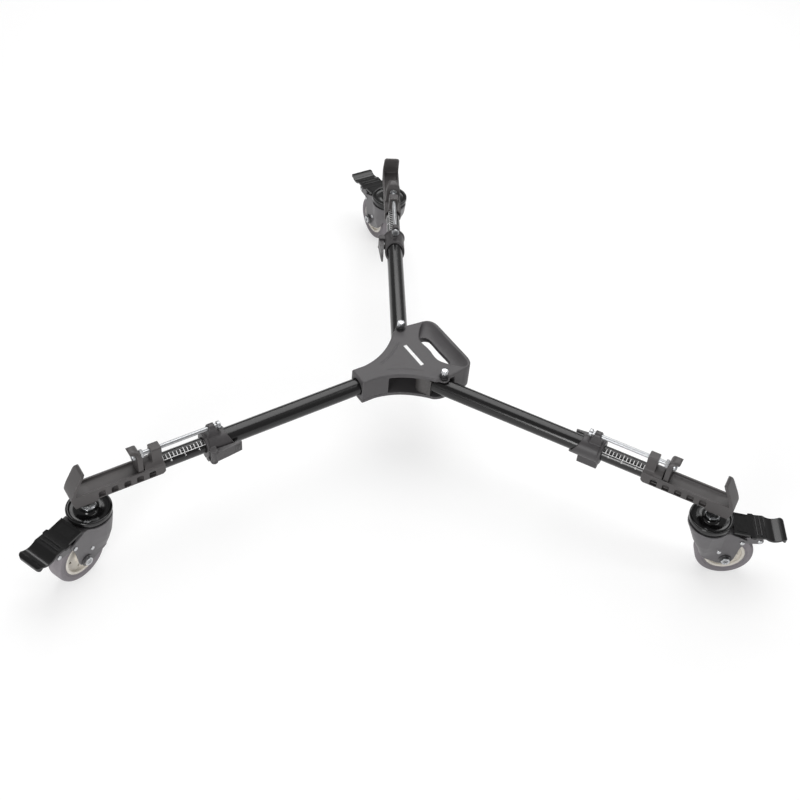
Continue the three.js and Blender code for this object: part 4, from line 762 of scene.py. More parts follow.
# Clamp collars: dark moulded rings that are squeezed round the end of each outer tube. Each has split ears
# below, a lug on top that guides the steel rod, and two cheeks at its side that hold the cam lever.
slide = 0.0002
collar_start, collar_flange, collar_end = 0.264, 0.311, 0.315
collar_radius, collar_flange_radius = 0.016, 0.0176
collar_edge, flange_edge, flange_end_edge = 0.0005, 0.0006, 0.0008
slant = [(0.25, 0.119), (0.2666, 0.119), (0.2856, 0.155), (0.25, 0.155)]
bore_step, bore_low, bore_high = 0.3003, 0.25, 0.33
ear_half, ear_low, ear_start, ear_end, ear_corner = 0.009, 0.109, 0.283, 0.3122, 0.004
split_half, split_start, split_end = 0.0008, 0.26, 0.32
lug_half, lug_top, rod_height = 0.006, 0.171, 0.165
lug_side = [(0.293, tube_height), (0.293, 0.153), (0.2985, lug_top), (0.3065, lug_top), (0.3112, 0.153),
            (0.3112, tube_height)]
lug_low, lug_high = 0.28, 0.32
lug_foot_radius, lug_foot_start, lug_foot_end, lug_foot_height = 0.0045, 0.2905, 0.2985, 0.1527
lever_x, lever_y, lever_low, lever_high = 0.309, 0.0206, 0.124, 0.140
lever_room_radius = 0.0050
cheek_thickness, cheek_radius, cheek_root = 0.0032, 0.0052, 0.006
rod_radius = 0.003
past_arm = 0.02
dark_moulding = surface("dark_moulding", dark=(0.042, 0.039, 0.041), light=(0.056, 0.052, 0.054),
                        worn=(0.15, 0.145, 0.148), roughness=0.38, spread=0.1, grain=1300.0, depth=0.00005,
                        edge=(0.52, 0.59))

collar = turned("collar", [(0, collar_start), (collar_radius - collar_edge, collar_start),
                           (collar_radius, collar_start + collar_edge), (collar_radius, collar_flange),
                           (collar_flange_radius - flange_edge, collar_flange),
                           (collar_flange_radius, collar_flange + flange_edge),
                           (collar_flange_radius, collar_end - flange_end_edge),
                           (collar_flange_radius - flange_end_edge, collar_end), (0, collar_end)])
cut_away(lengthwise(collar), side_plate("slant", slant, -past_arm, past_arm))
ears = [(ear_half, tube_height), (ear_half, ear_low + ear_corner)]
ears += bend(ears[-1], (ear_half, ear_low), (ear_half - ear_corner, ear_low), 5)
lug_front = [(-lug_half, tube_height), (lug_half, tube_height)]
lug_front += arc((0, rod_height), lug_half, 0, 180, 12)
lug = kept_inside(side_plate("lug", lug_side, -past_arm, past_arm),
                  section_bar("front", lug_front, lug_low, lug_high))
cut_away(lug, lengthwise(bar("rod_bore", rod_radius + slide, lug_low, lug_high, 32), rod_height))
cheek_outline = [(lever_x - cheek_radius, cheek_root), (lever_x + cheek_radius, cheek_root)]
cheek_outline += arc((lever_x, lever_y), cheek_radius, 0, 180, 10)
cheeks = [blank("cheek", cheek_outline, low, low + cheek_thickness)
          for low in (lever_low - gap - cheek_thickness, lever_high + gap)]
lug_foot = lengthwise(bar("lug_foot", lug_foot_radius, lug_foot_start, lug_foot_end, 32), lug_foot_height)
built_up(collar, section_bar("ears", mirrored(ears), ear_start, ear_end), lug, lug_foot, *cheeks)
bore = turned("bore", [(0, bore_low), (tube_radius + slide, bore_low), (tube_radius + slide, bore_step),
                       (inner_radius + slide, bore_step), (inner_radius + slide, bore_high),
                       (0, bore_high)], 50)
split = [(-split_half, below_hub), (split_half, below_hub), (split_half, tube_height),
         (-split_half, tube_height)]
lever_room = bar("lever_room", lever_room_radius, lever_low - gap, lever_high + gap, 32)
cut_away(collar, lengthwise(bore), section_bar("split", split, split_start, split_end),
         moved(lever_room, at(lever_x, lever_y)))
moulded(collar, grain=0.0006, passes=4)
fitted_to_each(collar, arm_place, "clamp_collar_{}_moulded", "arm_{}", "clamp_collar_{}",
               dark_moulding)


# Cam levers: a moulded blade hinged on a steel pin between the collar's cheeks. It lies along the tube when
# the collar is clamped, and has finger ridges near its tip.
lever_knuckle_radius = 0.0047
lever_tip_x, lever_tip_y, lever_tip_thickness, lever_tip_bulge = 0.268, 0.0215, 0.003, 0.0012
lever_inner_y = 0.0169
ridge_count, ridge_first, ridge_pitch, ridge_radius, ridge_margin = 5, 0.004, 0.0026, 0.0011, 0.003
ridge_lift, ridge_edge = 0.0002, 0.0004
lever_pin_radius, lever_pin_reach, lever_pin_edge = 0.0018, 0.0034, 0.0003
blade = [(lever_x, lever_inner_y), (lever_x, lever_y + lever_knuckle_radius)]
blade += bend(blade[-1], (lever_x - 2 * lever_knuckle_radius, lever_y + lever_knuckle_radius),
              (lever_tip_x, lever_tip_y), 10)
blade += bend(blade[-1], (lever_tip_x - lever_tip_bulge, lever_tip_y - lever_tip_thickness / 2),
              (lever_tip_x, lever_tip_y - lever_tip_thickness), 4)
blade += [(lever_x - 2 * lever_knuckle_radius, lever_inner_y)]
lever = blank("lever", blade, lever_low, lever_high)
built_up(lever, moved(bar("lever_knuckle", lever_knuckle_radius, lever_low, lever_high, 32),
                      at(lever_x, lever_y)))
for i in range(ridge_count):
    ridge = bar("ridge", ridge_radius, lever_low + ridge_margin, lever_high - ridge_margin, 16, ridge_edge)
    built_up(lever, moved(ridge, at(lever_tip_x + ridge_first + i * ridge_pitch, lever_tip_y + ridge_lift)))
eased(lever, width=0.0006, segments=2, angle=40)
lever_pin = bar("lever_pin", lever_pin_radius, lever_low - lever_pin_reach, lever_high + lever_pin_reach, 32,
                lever_pin_edge)
smooth_sides(moved(lever_pin, at(lever_x, lever_y)))
fitted_to_each(lever, arm_place, "cam_lever_{}_moulded", "lever_{}", "cam_lever_{}",
               dark_moulding)
fitted_to_each(lever_pin, arm_place, "lever_pin_{}", "lever_{}", None, bright_steel)


# Foot cradles: one satin grey casting each over the inner tube's end. A shallow channel takes the tripod's
# foot, a lip leans back over its end, and five round-topped pockets run along each side. A bracket over
# the socket carries the rod, and the block at the end takes the caster's kingpin.
cradle_start, socket_end, channel_start, channel_end = 0.375, 0.407, 0.4023, 0.4968
cradle_half, wall_low, block_low, cradle_high, cradle_corner = 0.0135, 0.126, 0.122, 0.144, 0.0025
hollow_half = 0.0075
channel_floor, channel_floor_half, channel_half, channel_under = 0.139, 0.008, 0.0108, 0.1355
channel_cut_end, channel_cut_top, channel_clear_top = 0.4988, 0.146, 0.16
seat_floor, seat_end = 0.1382, 0.4113
ramp_start, ramp_end, ramp_low, ramp_high, ramp_half = 0.4768, 0.4978, 0.137, 0.141, 0.011
pocket_count, pocket_first, pocket_pitch, pocket_radius = 5, 0.3933, 0.0175, 0.0047
pocket_depth, pocket_foot_depth, pocket_ledge, pocket_arch = 0.003, 0.005, 0.1283, 0.135
bracket_start, bracket_end, bracket_half, bracket_top = 0.376, 0.390, 0.0075, 0.171
bracket_corner, bracket_neck, bracket_flare = 0.003, 0.152, 0.146
block_start, block_cavity = 0.4695, 0.4715
nose = [(0.37, 0.12), (0.382, 0.12), (0.382, 0.1235), (0.37, 0.1355)]
lip_half, lip_shoulder, lip_top = 0.0128, 0.171, 0.180
lip_front_start, lip_front_end = 0.46, 0.51
rod_hole_low, rod_hole_high = 0.37, 0.395
caster_reach, kingpin_radius = 0.480, 0.005
seam = 0.0001
cradle_casting = surface("cradle_casting", dark=(0.062, 0.057, 0.057), light=(0.08, 0.074, 0.074),
                         worn=(0.24, 0.23, 0.225), roughness=0.42, spread=0.1, grain=800.0, depth=0.00006,
                         metallic=0.1, edge=(0.52, 0.59))


def cradle_section(low):
    half = [(cradle_half - cradle_corner, low)]
    half += bend(half[-1], (cradle_half, low), (cradle_half, low + cradle_corner), 6)
    return half + [(cradle_half, cradle_high)]


def channel_section(floor, inset=0.0):
    half = [(channel_floor_half - inset, floor + inset)]
    half += bend(half[-1], (channel_half - inset, floor + inset), (channel_half - inset, cradle_high), 8)
    return mirrored(half + [(channel_half - inset, channel_cut_top)])


bracket = [(cradle_half - seam, tube_height), (cradle_half - seam, cradle_high)]
bracket += bend(bracket[-1], (bracket_half, bracket_flare), (bracket_half, bracket_neck), 8)
bracket += [(bracket_half, bracket_top - bracket_corner)]
bracket += bend(bracket[-1], (bracket_half, bracket_top), (bracket_half - bracket_corner, bracket_top), 5)
lip_side = [(block_start, block_low), (0.499, block_low)]
lip_side += bend(lip_side[-1], (0.501, 0.124), (0.504, 0.139), 5)
lip_side += bend(lip_side[-1], (0.505, 0.145), (0.486, 0.177), 8)
lip_side += bend(lip_side[-1], (0.483, lip_top), (0.4815, 0.1785), 4)
lip_side += [(0.4812, 0.1764)]
lip_side += bend(lip_side[-1], (0.498, 0.151), (channel_end, cradle_high), 8)
lip_side += [(channel_end, channel_under), (block_start, channel_under)]
lip_front = cradle_section(block_low) + [(lip_half, lip_shoulder)]
lip_front += bend(lip_front[-1], (lip_half, lip_top), (0.0, lip_top), 8)[:-1]
lip = kept_inside(side_plate("lip", lip_side, -past_arm, past_arm),
                  section_bar("lip_front", mirrored(lip_front), lip_front_start, lip_front_end))
cradle = section_bar("cradle", mirrored(cradle_section(wall_low)), cradle_start, ramp_end)
built_up(cradle, lengthwise(bar("cradle_socket", cradle_half + seam, cradle_start + seam, socket_end)))
over_channel = [(-past_arm, cradle_high), (past_arm, cradle_high), (past_arm, channel_clear_top),
                (-past_arm, channel_clear_top)]
cut_away(cradle,
         section_bar("seat", channel_section(seat_floor), channel_start, seat_end),
         section_bar("channel", channel_section(channel_floor), channel_start, channel_cut_end),
         section_bar("over_channel", over_channel, channel_start, channel_cut_end))
ramp = [(ramp_start, ramp_low), (ramp_end, ramp_low), (ramp_end, ramp_high), (channel_end, ramp_high),
        (ramp_start, channel_floor)]
built_up(cradle, side_plate("ramp", ramp, -ramp_half, ramp_half), lip,
         section_bar("bracket", mirrored(bracket), bracket_start, bracket_end))
under_channel = [(-hollow_half, below_hub), (hollow_half, below_hub), (hollow_half, channel_under),
                 (-hollow_half, channel_under)]
cut_away(cradle,
         lengthwise(bar("tube_socket", inner_radius + slide, cradle_start - past_arm, channel_start + gap)),
         section_bar("under_channel", under_channel, socket_end, block_cavity),
         lengthwise(bar("rod_hole", rod_radius + slide, rod_hole_low, rod_hole_high, 32), rod_height),
         moved(bar("kingpin_hole", kingpin_radius + gap, below_hub, channel_under, 32), at(caster_reach)),
         side_plate("nose", nose, -past_arm, past_arm))
for i in range(pocket_count):
    x = pocket_first + i * pocket_pitch
    foot = [(x - pocket_radius, pocket_ledge), (x + pocket_radius, pocket_ledge)]
    arch = arc((x, pocket_arch), pocket_radius, 0, 180, 16) + foot
    foot += [(x + pocket_radius, pocket_arch), (x - pocket_radius, pocket_arch)]
    for shape, depth in ((arch, pocket_depth), (foot, pocket_foot_depth)):
        inside = cradle_half - depth
        cut_away(cradle, side_plate("pocket", shape, inside, past_arm),
                 side_plate("pocket", shape, -past_arm, -inside))
moulded(cradle, grain=0.0006, passes=4)
fitted_to_each(cradle, arm_place, "foot_cradle_{}_cast", "extension_{}", "foot_cradle_{}",
               cradle_casting)


# Foot claws: a round-topped cast plate seated in the channel, whose top curls outwards over the rod's nut to
# hook the tripod's foot.
claw_start, claw_back, claw_low = 0.404, 0.411, 0.138
claw_half, claw_wide, claw_arch, claw_top = 0.014, 0.0115, 0.164, 0.1795
claw_shoulder, curl_x, curl_low = 0.171, 0.4185, 0.1755
claw_plan_start, claw_plan_end, claw_foot_start, claw_foot_end = 0.4, 0.43, 0.399, 0.431
claw_side = [(claw_start, claw_low), (claw_back, claw_low), (claw_back, claw_shoulder)]
claw_side += bend(claw_side[-1], (claw_back, curl_low), (curl_x, curl_low - 0.0003), 8)
claw_side += bend(claw_side[-1], (curl_x + 0.002, curl_low + 0.002), (curl_x, claw_top - 0.0003), 5)
claw_side += bend(claw_side[-1], (claw_start, claw_top + 0.0003), (claw_start, rod_height), 10)
claw_front = [(claw_wide, cradle_high + gap), (claw_wide, claw_arch)]
claw_front += bend(claw_front[-1], (claw_wide, claw_top), (0.0, claw_top), 10)[:-1]
claw_plan = built_up(section_bar("front", mirrored(claw_front), claw_plan_start, claw_plan_end),
                     section_bar("foot", channel_section(seat_floor, gap), claw_foot_start, claw_foot_end))
claw = kept_inside(side_plate("claw", claw_side, -claw_half, claw_half), claw_plan)
cut_away(claw, lengthwise(bar("rod_hole", rod_radius + slide, claw_plan_start, claw_plan_end, 32),
                          rod_height))
moulded(claw, grain=0.0006, passes=4)
fitted_to_each(claw, arm_place, "foot_claw_{}_cast", "extension_{}", "foot_claw_{}",
               cradle_casting)


# Guide rods: bright steel rods through bracket and claw, with a stop ring inside the collar's lug and a jam
# nut and a domed nut that hold the claw.
rod_start, rod_edge, ring_radius, ring_length, ring_edge = 0.2895, 0.0003, 0.0054, 0.0045, 0.0005
nut_radius, nut_length, dome_length, dome_foot_share = 0.006, 0.0042, 0.005, 0.4
nut_edge, nut_face_share, nut_cone_share = 0.0007, 0.87, 1.02
rod_steel = surface("rod_steel", dark=(0.36, 0.37, 0.385), light=(0.44, 0.45, 0.465), worn=(0.5, 0.5, 0.5),
                    roughness=0.34, spread=0.08, grain=1800.0, depth=0.000002, metallic=1.0, patches=30.0)


def hex_nut(name, radius, low, high):
    """A hexagonal nut about Z whose corners are turned off at both ends."""
    nut = blank(name, arc((0, 0), radius, 0, 300, 5), low, high)
    face, cone = radius * nut_face_share, radius * nut_cone_share
    return kept_inside(nut, turned("nut_cone", [
        (0, low), (face, low), (cone, low + nut_edge), (cone, (low + high) / 2), (cone, high - nut_edge),
        (face, high), (0, high)], 48))


jam = claw_start - gap
cap = claw_back + gap
dome_profile = [(0, cap), (nut_radius, cap), (nut_radius, cap + dome_length * dome_foot_share)]
dome_profile += bend(dome_profile[-1], (nut_radius, cap + dome_length), (0, cap + dome_length), 8)
rod = side_by_side(bar("rod", rod_radius, rod_start, cap + dome_length / 2, 48, rod_edge),
                   bar("ring", ring_radius, rod_start, rod_start + ring_length, 48, ring_edge),
                   hex_nut("jam_nut", nut_radius, jam - nut_length, jam), turned("dome", dome_profile, 48))
fitted_to_each(lengthwise(smooth_sides(rod), rod_height), arm_place, "guide_rod_{}_turned",
               "extension_{}", "guide_rod_{}", rod_steel)


# Kingpins: a steel stem through cradle and swivel, riveted over under the fork's crown, with a thick washer
# and a large hex nut between the swivel and the cradle.
caster_turns = {"fixed": math.radians(21.7), "left": math.radians(28), "right": math.radians(24.1)}
caster_place = {arm: arm_place[arm] @ at(caster_reach) @ Matrix.Rotation(turn, 4, "Z")
                for arm, turn in caster_turns.items()}
race_top = 0.1045
washer_low, washer_high, washer_radius, washer_edge = race_top + gap, race_top + 0.0043, 0.010, 0.0006
kingpin_low, kingpin_edge, kingpin_nut_radius, kingpin_nut_high = 0.0827, 0.0004, 0.0092, 0.1168
kingpin_head_radius, kingpin_head_high, kingpin_head_edge = 0.008, 0.0857, 0.001
kingpin = side_by_side(
    bar("kingpin", kingpin_radius, kingpin_low, channel_under - gap, 48, kingpin_edge),
    bar("kingpin_head", kingpin_head_radius, kingpin_low, kingpin_head_high, 48, kingpin_head_edge),
    bar("kingpin_washer", washer_radius, washer_low, washer_high, 64, washer_edge),
    hex_nut("kingpin_nut", kingpin_nut_radius, washer_high, kingpin_nut_high))
fitted_to_each(smooth_sides(kingpin), caster_place, "kingpin_{}_turned", "extension_{}", "kingpin_{}",
               bright_steel)


# Swivel races: a pressed cup in gloss black with a rolled rim and a sunk floor round the washer, over the
# smaller ring that the fork's crown turns on.
race_low, race_step, race_well = 0.0923, 0.098, 0.1015
race_rim, race_rim_inner, race_lower, race_boss = 0.0303, 0.0262, 0.0275, 0.012
race_fillet, race_lower_roll, race_upper_roll = 0.0006, 0.0014, 0.0021
black_gloss = surface("black_gloss", dark=(0.003, 0.003, 0.0033), light=(0.006, 0.0057, 0.006),
                      worn=(0.01, 0.01, 0.01), roughness=0.14, spread=0.04, grain=500.0, depth=0.000001)
race_profile = [(kingpin_radius + gap, race_low), (race_lower, race_low),
                (race_lower, race_step - race_fillet)]
race_profile += bend(race_profile[-1], (race_lower, race_step), (race_lower + race_fillet, race_step), 3)
race_profile += [(race_rim - race_lower_roll, race_step)]
race_profile += bend(race_profile[-1], (race_rim, race_step), (race_rim, race_step + race_lower_roll), 4)
race_profile += [(race_rim, race_top - race_upper_roll)]
race_profile += bend(race_profile[-1], (race_rim, race_top), (race_rim - race_upper_roll, race_top), 8)
race_profile += bend(race_profile[-1], (race_rim_inner, race_top), (0.0260, 0.1029), 5)
race_profile += [(0.0250, 0.1018), (0.0244, race_well), (0.014, race_well), (race_boss, 0.1031),
                 (0.0114, race_top), (kingpin_radius + gap, race_top)]
race = smooth_sides(turned("race", race_profile, 96), 50)
fitted_to_each(race, caster_place, "swivel_race_{}_pressed", "extension_{}", "swivel_race_{}",
               black_gloss)


# Caster forks: one deep pressing in satin grey. A round cup under the swivel runs down over the wheel's
# front as a hood and turns, along a crease, into two flat cheeks that hold the axle and the brake's rivets.
wheel_x, wheel_z = 0.032, 0.040
brake_x, brake_z = 0.046, 0.077
fork_top, fork_half, fork_wall, crease_x, fork_back = 0.092, 0.020, 0.003, 0.021, 0.053
crown_low, crown_high, crown_radius = 0.0885, 0.0921, 0.0295
# Each level of the hood has its height, its reach to the front, its half width and its squareness.
hood_levels = ((0.0920, 0.0295, 0.0295, 2.0), (0.0860, 0.0277, 0.0295, 2.1), (0.0680, 0.0195, 0.0285, 2.6),
               (0.0570, 0.0120, 0.0265, 2.8), (0.0450, 0.0060, 0.0225, 3.0), (0.0200, 0.0060, 0.0205, 3.0))
hood_steps, hood_rings, hood_overrun = 36, 4, 0.002
front_window = [(-0.04, 0.01), (0.06, 0.01), (0.06, 0.0569), (-0.04, 0.0569)]
kingpin_room_low, kingpin_room_high = 0.08, 0.1
axle_hole_radius, rivet_hole_radius = 0.0043, 0.0025
past_fork = 0.04
cheek_rivet_x, cheek_rivet_z, rivet_head_radius = 0.020, 0.0534, 0.0032
rivet_seat, rivet_rise, rivet_round = 0.0002, 0.0011, 0.0006
fork_grey = surface("fork_grey", dark=(0.12, 0.115, 0.12), light=(0.15, 0.145, 0.15), worn=(0.34, 0.34, 0.34),
                    roughness=0.34, spread=0.08, grain=900.0, depth=0.00002, metallic=0.3,
                    edge=(0.52, 0.59))


def crosswise(piece, x=wheel_x, z=wheel_z):
    """Lays a piece that was made about Z across its caster."""
    return moved(piece, at(x, 0, z) @ along_y)


def both_sides(name, radius, low, high, steps, soft, x, z):
    """Two like bars across the caster, one beyond each side of its middle plane."""
    return [crosswise(bar(name, radius, start, end, steps, soft), x, z)
            for start, end in ((low, high), (-high, -low))]


def hood_ring(height, reach, half, squareness, inset, back):
    ring = [(back, fork_half - inset, height), (crease_x, fork_half - inset, height)]
    for i in range(hood_steps + 1):
        angle = math.pi * i / hood_steps
        forward = (reach - inset) * math.sin(angle) ** (2 / squareness)
        aside = (half - inset) * abs(math.cos(angle)) ** (2 / squareness)
        ring.append((-forward, math.copysign(aside, math.cos(angle)), height))
    return ring + [(crease_x, inset - fork_half, height), (back, inset - fork_half, height)]


def hood(levels, inset, back):
    """A skin through the hood's levels, with a few rings between each two."""
    rings = []
    for low, high in zip(levels[::-1], levels[-2::-1]):
        for i in range(hood_rings):
            share = i / hood_rings
            rings.append(hood_ring(*(a + (b - a) * share for a, b in zip(low, high)), inset, back))
    return ring_stack("hood", rings + [hood_ring(*levels[0], inset, back)])


fork_side = [(-0.031, fork_top), (-0.031, 0.057), (-0.010, 0.057)]
fork_side += bend(fork_side[-1], (-0.006, 0.044), (0.003, 0.039), 8)
fork_side += [(0.020, 0.031)]
fork_side += bend(fork_side[-1], (wheel_x, wheel_z - 0.0132), (wheel_x + 0.011, wheel_z), 12)
fork_side += [(0.046, 0.066), (0.052, 0.082), (0.027, fork_top)]
fork = kept_inside(hood(hood_levels, 0.0, fork_back),
                   side_plate("fork_side", fork_side, -past_fork, past_fork))
built_up(fork, bar("crown", crown_radius, crown_low, crown_high, 96))
cut_away(fork, hood(hood_levels[1:], fork_wall, fork_back + hood_overrun),
         side_plate("open_front", front_window, fork_wall - fork_half, fork_half - fork_wall),
         bar("kingpin_room", kingpin_radius + gap, kingpin_room_low, kingpin_room_high, 32),
         crosswise(bar("axle_room", axle_hole_radius, -past_fork, past_fork, 32)),
         crosswise(bar("rivet_room", rivet_hole_radius, -past_fork, past_fork, 32), brake_x, brake_z))
moulded(fork, grain=0.0006, passes=3)
cheek_rivets = both_sides("cheek_rivet", rivet_head_radius, fork_half - rivet_seat, fork_half + rivet_rise,
                          32, rivet_round, cheek_rivet_x, cheek_rivet_z)
fitted_to_each(fork, caster_place, "caster_fork_{}_pressed", "caster_{}", "caster_fork_{}",
               fork_grey)
fitted_to_each(smooth_sides(side_by_side(*cheek_rivets)), caster_place, "cheek_rivets_{}", "caster_{}",
               None, bright_steel)


# Wheel centres: a cream nylon disc with a raised rim, a hub boss and five small round holes.
centre_radius, centre_rim_half, centre_web_half, centre_rim = 0.0278, 0.0115, 0.0075, 0.0238
wheel_boss_radius, wheel_boss_half, wheel_boss_edge = 0.009, 0.0135, 0.0006
web_slope, web_fillet, rim_edge, centre_edge = 0.0002, 0.0008, 0.0005, 0.0003
wheel_holes, wheel_hole_radius, wheel_hole_pitch = 5, 0.0018, 0.0175
wheel_cream = surface("wheel_cream", dark=(0.66, 0.62, 0.55), light=(0.76, 0.72, 0.65),
                      worn=(0.8, 0.77, 0.72), roughness=0.4, spread=0.1, grain=900.0, depth=0.00004)
half = [(axle_hole_radius, wheel_boss_half), (wheel_boss_radius - wheel_boss_edge, wheel_boss_half),
        (wheel_boss_radius, wheel_boss_half - wheel_boss_edge),
        (wheel_boss_radius + web_slope, centre_web_half + web_fillet),
        (wheel_boss_radius + web_slope + web_fillet, centre_web_half),
        (centre_rim - web_slope - web_fillet, centre_web_half),
        (centre_rim - web_slope, centre_web_half + web_fillet), (centre_rim, centre_rim_half - rim_edge),
        (centre_rim + rim_edge, centre_rim_half), (centre_radius - centre_edge, centre_rim_half),
        (centre_radius, centre_rim_half - centre_edge)]
wheel_centre = turned("wheel_centre", half + [(r, -z) for r, z in reversed(half)], 96)
for i in range(wheel_holes):
    angle = math.tau * i / wheel_holes
    cut_away(wheel_centre, moved(bar("wheel_hole", wheel_hole_radius, -past_arm, past_arm, 24),
                                 at(wheel_hole_pitch * math.cos(angle), -wheel_hole_pitch * math.sin(angle))))
fitted_to_each(crosswise(smooth_sides(wheel_centre)), caster_place, "wheel_centre_{}_moulded", "wheel_{}",
               "wheel_centre_{}", wheel_cream)


# Tyres: soft mauve grey rubber round the centre, with rounded shoulders and a fine mould line.
tyre_radius, tread_half, mould_line_half, mould_line_depth = 0.03975, 0.007, 0.0004, 0.0002
tyre_rubber = surface("tyre_rubber", dark=(0.2, 0.185, 0.2), light=(0.26, 0.24, 0.255),
                      worn=(0.32, 0.3, 0.32), roughness=0.6, spread=0.12, grain=1400.0, depth=0.00006,
                      patches=40.0, edge=(0.7, 0.9))
half = [(centre_radius + gap, 0.0113), (0.0300, 0.0117), (0.0303, 0.0113), (0.0309, 0.0113), (0.0312, 0.0118)]
half += bend(half[-1], (0.0340, 0.0121), (0.0375, 0.0119), 6)
half += bend(half[-1], (0.0392, 0.0106), (tyre_radius, tread_half), 8)
half += [(tyre_radius, mould_line_half), (tyre_radius - mould_line_depth, 0)]
tyre = smooth_sides(turned("tyre", half + [(r, -z) for r, z in reversed(half[:-1])], 128), 50)
fitted_to_each(crosswise(tyre), caster_place, "tyre_{}_moulded", "wheel_{}", "tyre_{}", tyre_rubber)


# Wheel axles: a steel bolt with two spacers inside the fork, and a dark washer under a bright nut on each
# side.
axle_radius, axle_end, axle_edge = 0.004, 0.0251, 0.0004
spacer_radius, spacer_low, spacer_high = 0.0064, 0.0138, 0.0167
axle_washer_radius, axle_washer_low, axle_washer_high = 0.0086, 0.0203, 0.0217
axle_nut_radius, spacer_edge = 0.0066, 0.0003
dark_steel = surface("dark_steel", dark=(0.05, 0.048, 0.05), light=(0.08, 0.077, 0.08), worn=(0.3, 0.3, 0.3),
                     roughness=0.35, spread=0.1, grain=900.0, depth=0.00004, metallic=0.8)
axle_parts = both_sides("spacer", spacer_radius, spacer_low, spacer_high, 48, spacer_edge, wheel_x, wheel_z)
axle_parts += [crosswise(hex_nut("axle_nut", axle_nut_radius, low, high))
               for low, high in ((axle_washer_high, axle_end), (-axle_end, -axle_washer_high))]
axle = crosswise(bar("axle", axle_radius, -axle_end, axle_end, 48, axle_edge))
washers = both_sides("axle_washer", axle_washer_radius, axle_washer_low, axle_washer_high, 64, spacer_edge,
                     wheel_x, wheel_z)
fitted_to_each(smooth_sides(side_by_side(axle, *axle_parts)), caster_place, "wheel_axle_{}_turned",
               "caster_{}", "wheel_axle_{}", bright_steel)
fitted_to_each(smooth_sides(side_by_side(*washers)), caster_place, "axle_washers_{}", "caster_{}", None,
               dark_steel)


# Brake arms: a folded steel arm, riveted inside the fork's cheeks, with a pad over the wheel. Its bridge
# carries the pedal, and bright rivet heads show at both ends.
arm_end_x, arm_end_z, arm_radius = 0.070, 0.0795, 0.0052
arm_outer, arm_plate, arm_end_turn = 0.0167, 0.0023, 56.25
bridge_start, bridge_low, bridge_top, cheek_top = 0.058, 0.0863, 0.0887, 0.0884
pad_start, pad_end, pad_half, pad_low = 0.055, 0.063, 0.009, 0.045
pad_high, pad_base_high, pad_base_half = 0.0885, 0.0877, 0.0166
tyre_room, tyre_room_half = 0.00085, 0.0121
brake_lock = math.radians(8)
rivet_radius, rivet_edge = 0.0022, 0.0004
rivet_stem_end, rivet_head_end, arm_rivet_end = 0.0203, 0.0213, 0.0179
brake_shape = [(brake_x, brake_z - arm_radius)]
brake_shape += arc((arm_end_x, arm_end_z), arm_radius, -90, arm_end_turn, 13)
brake_shape += [(arm_end_x, cheek_top), (bridge_start, cheek_top)]
brake_shape += arc((brake_x, brake_z), arm_radius, 90, 270, 12)[:-1]


def box_across(name, start, end, low, high, half):
    return side_plate(name, [(start, low), (end, low), (end, high), (start, high)], -half, half)


brake = box_across("bridge", bridge_start, arm_end_x, bridge_low, bridge_top, arm_outer)
built_up(brake,
         box_across("pad", pad_start, pad_end, pad_low, pad_high, pad_half),
         box_across("pad_base", pad_start, pad_end, brake_z, pad_base_high, pad_base_half),
         side_plate("near_cheek", brake_shape, arm_outer - arm_plate, arm_outer),
         side_plate("far_cheek", brake_shape, -arm_outer, arm_plate - arm_outer))
# The pad is hollowed by the tyre as it stands to the brake when that is pressed.
locked = Matrix.Rotation(-brake_lock, 4, "Y") @ Vector((wheel_x - brake_x, 0, wheel_z - brake_z))
cut_away(brake, crosswise(bar("tyre_room", tyre_radius + tyre_room, -tyre_room_half, tyre_room_half, 96),
                          brake_x + locked.x, brake_z + locked.z))
moulded(brake, grain=0.0005, passes=2)
rivets = []
for x, z, radius, low, high in ((brake_x, brake_z, rivet_radius, arm_outer - arm_plate, rivet_stem_end),
                                (brake_x, brake_z, rivet_head_radius, rivet_stem_end, rivet_head_end),
                                (arm_end_x, arm_end_z, rivet_head_radius, arm_outer - rivet_seat,
                                 arm_rivet_end)):
    rivets += both_sides("rivet", radius, low, high, 32, rivet_edge, x, z)
fitted_to_each(brake, caster_place, "brake_arm_{}_folded", "brake_{}", "brake_arm_{}",
               fork_grey)
fitted_to_each(smooth_sides(side_by_side(*rivets)), caster_place, "brake_rivets_{}", "brake_{}", None,
               bright_steel)


# Brake pedals: a stamped plate in gloss black. A raised panel lies over the fork, two ears reach down beside
# it, two ribs cross the neck, and a scoop ends in a rolled tip for the toe.
pedal_thickness, pedal_past = 0.003, 0.024
pedal_start, panel_end, band_start, band_end = 0.031, 0.052, 0.057, 0.075
pedal_half, panel_half, pedal_ear_half, pedal_corner = 0.020, 0.0185, 0.0218, 0.007
pedal_ridge, pedal_tip, plan_low, plan_high = 0.099, 0.105, 0.07, 0.12
groove_start, groove_end, groove_half, groove_width = 0.0345, 0.0505, 0.0150, 0.0009
groove_depth, groove_above, island_above = 0.0005, 0.002, 0.003
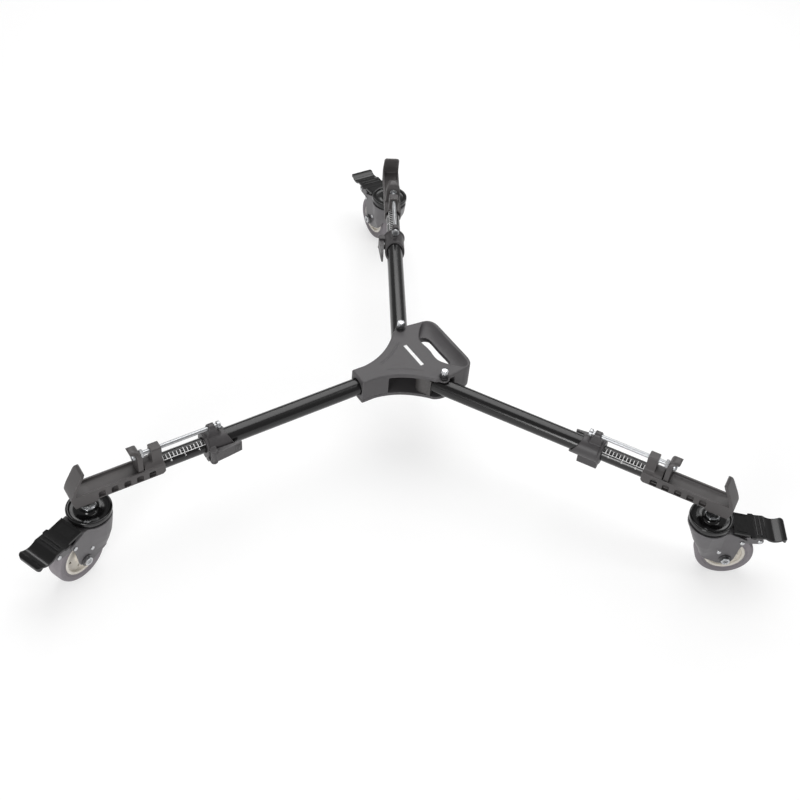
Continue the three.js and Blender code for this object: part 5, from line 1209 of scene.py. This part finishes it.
# The panel falls 3 mm over its length of 21 mm.
panel_middle_x, panel_middle_z, panel_tilt = 0.0425, 0.09446, math.atan(3 / 21)
rib_places, rib_height, rib_radius, rib_half, rib_edge = (0.0635, 0.0695), 0.0921, 0.0011, 0.0165, 0.0008
pedal_top = [(pedal_start, 0.096), (panel_end, 0.093), (band_start, 0.092), (band_end, 0.092)]
pedal_top += bend(pedal_top[-1], (0.087, 0.0832), (pedal_ridge, 0.0915), 14)
pedal_top += bend(pedal_top[-1], (pedal_tip, 0.0915), (pedal_tip, 0.088), 8)
pedal_under = [(pedal_tip, 0.085), (pedal_tip - pedal_thickness, 0.085), (0.0975, 0.0885)]
pedal_under += bend(pedal_under[-1], (0.087, 0.0802), (band_end, 0.089), 14)
pedal_under += [(band_start, 0.089), (panel_end, 0.090), (pedal_start, 0.093)]
plan = [(pedal_start, panel_half), (0.0535, panel_half), (0.055, pedal_ear_half), (0.061, pedal_ear_half),
        (0.0625, pedal_half), (pedal_tip - pedal_corner, pedal_half)]
plan += bend(plan[-1], (pedal_tip, pedal_half), (pedal_tip, pedal_half - pedal_corner), 6)
pedal = kept_inside(side_plate("pedal", pedal_top + pedal_under, -pedal_past, pedal_past),
                    blank("plan", plan + [(x, -y) for x, y in reversed(plan)], plan_low, plan_high))
groove, island = (blank("groove", [(groove_start + inset, groove_half - inset),
                                   (groove_end - inset, groove_half - inset),
                                   (groove_end - inset, inset - groove_half),
                                   (groove_start + inset, inset - groove_half)], low, high)
                  for inset, low, high in ((0, -groove_depth, groove_above),
                                           (groove_width, -groove_above, island_above)))
panel_place = at(panel_middle_x, 0, panel_middle_z) @ Matrix.Rotation(panel_tilt, 4, "Y")
cut_away(pedal, moved(cut_away(groove, island), panel_place @ at(-panel_middle_x)))
built_up(pedal, *[crosswise(bar("rib", rib_radius, -rib_half, rib_half, 24, rib_edge), x, rib_height)
                  for x in rib_places])
eased(pedal, width=0.0006, segments=3, angle=25)
fitted_to_each(pedal, caster_place, "brake_pedal_{}_stamped", "brake_{}", "brake_pedal_{}",
               black_gloss)
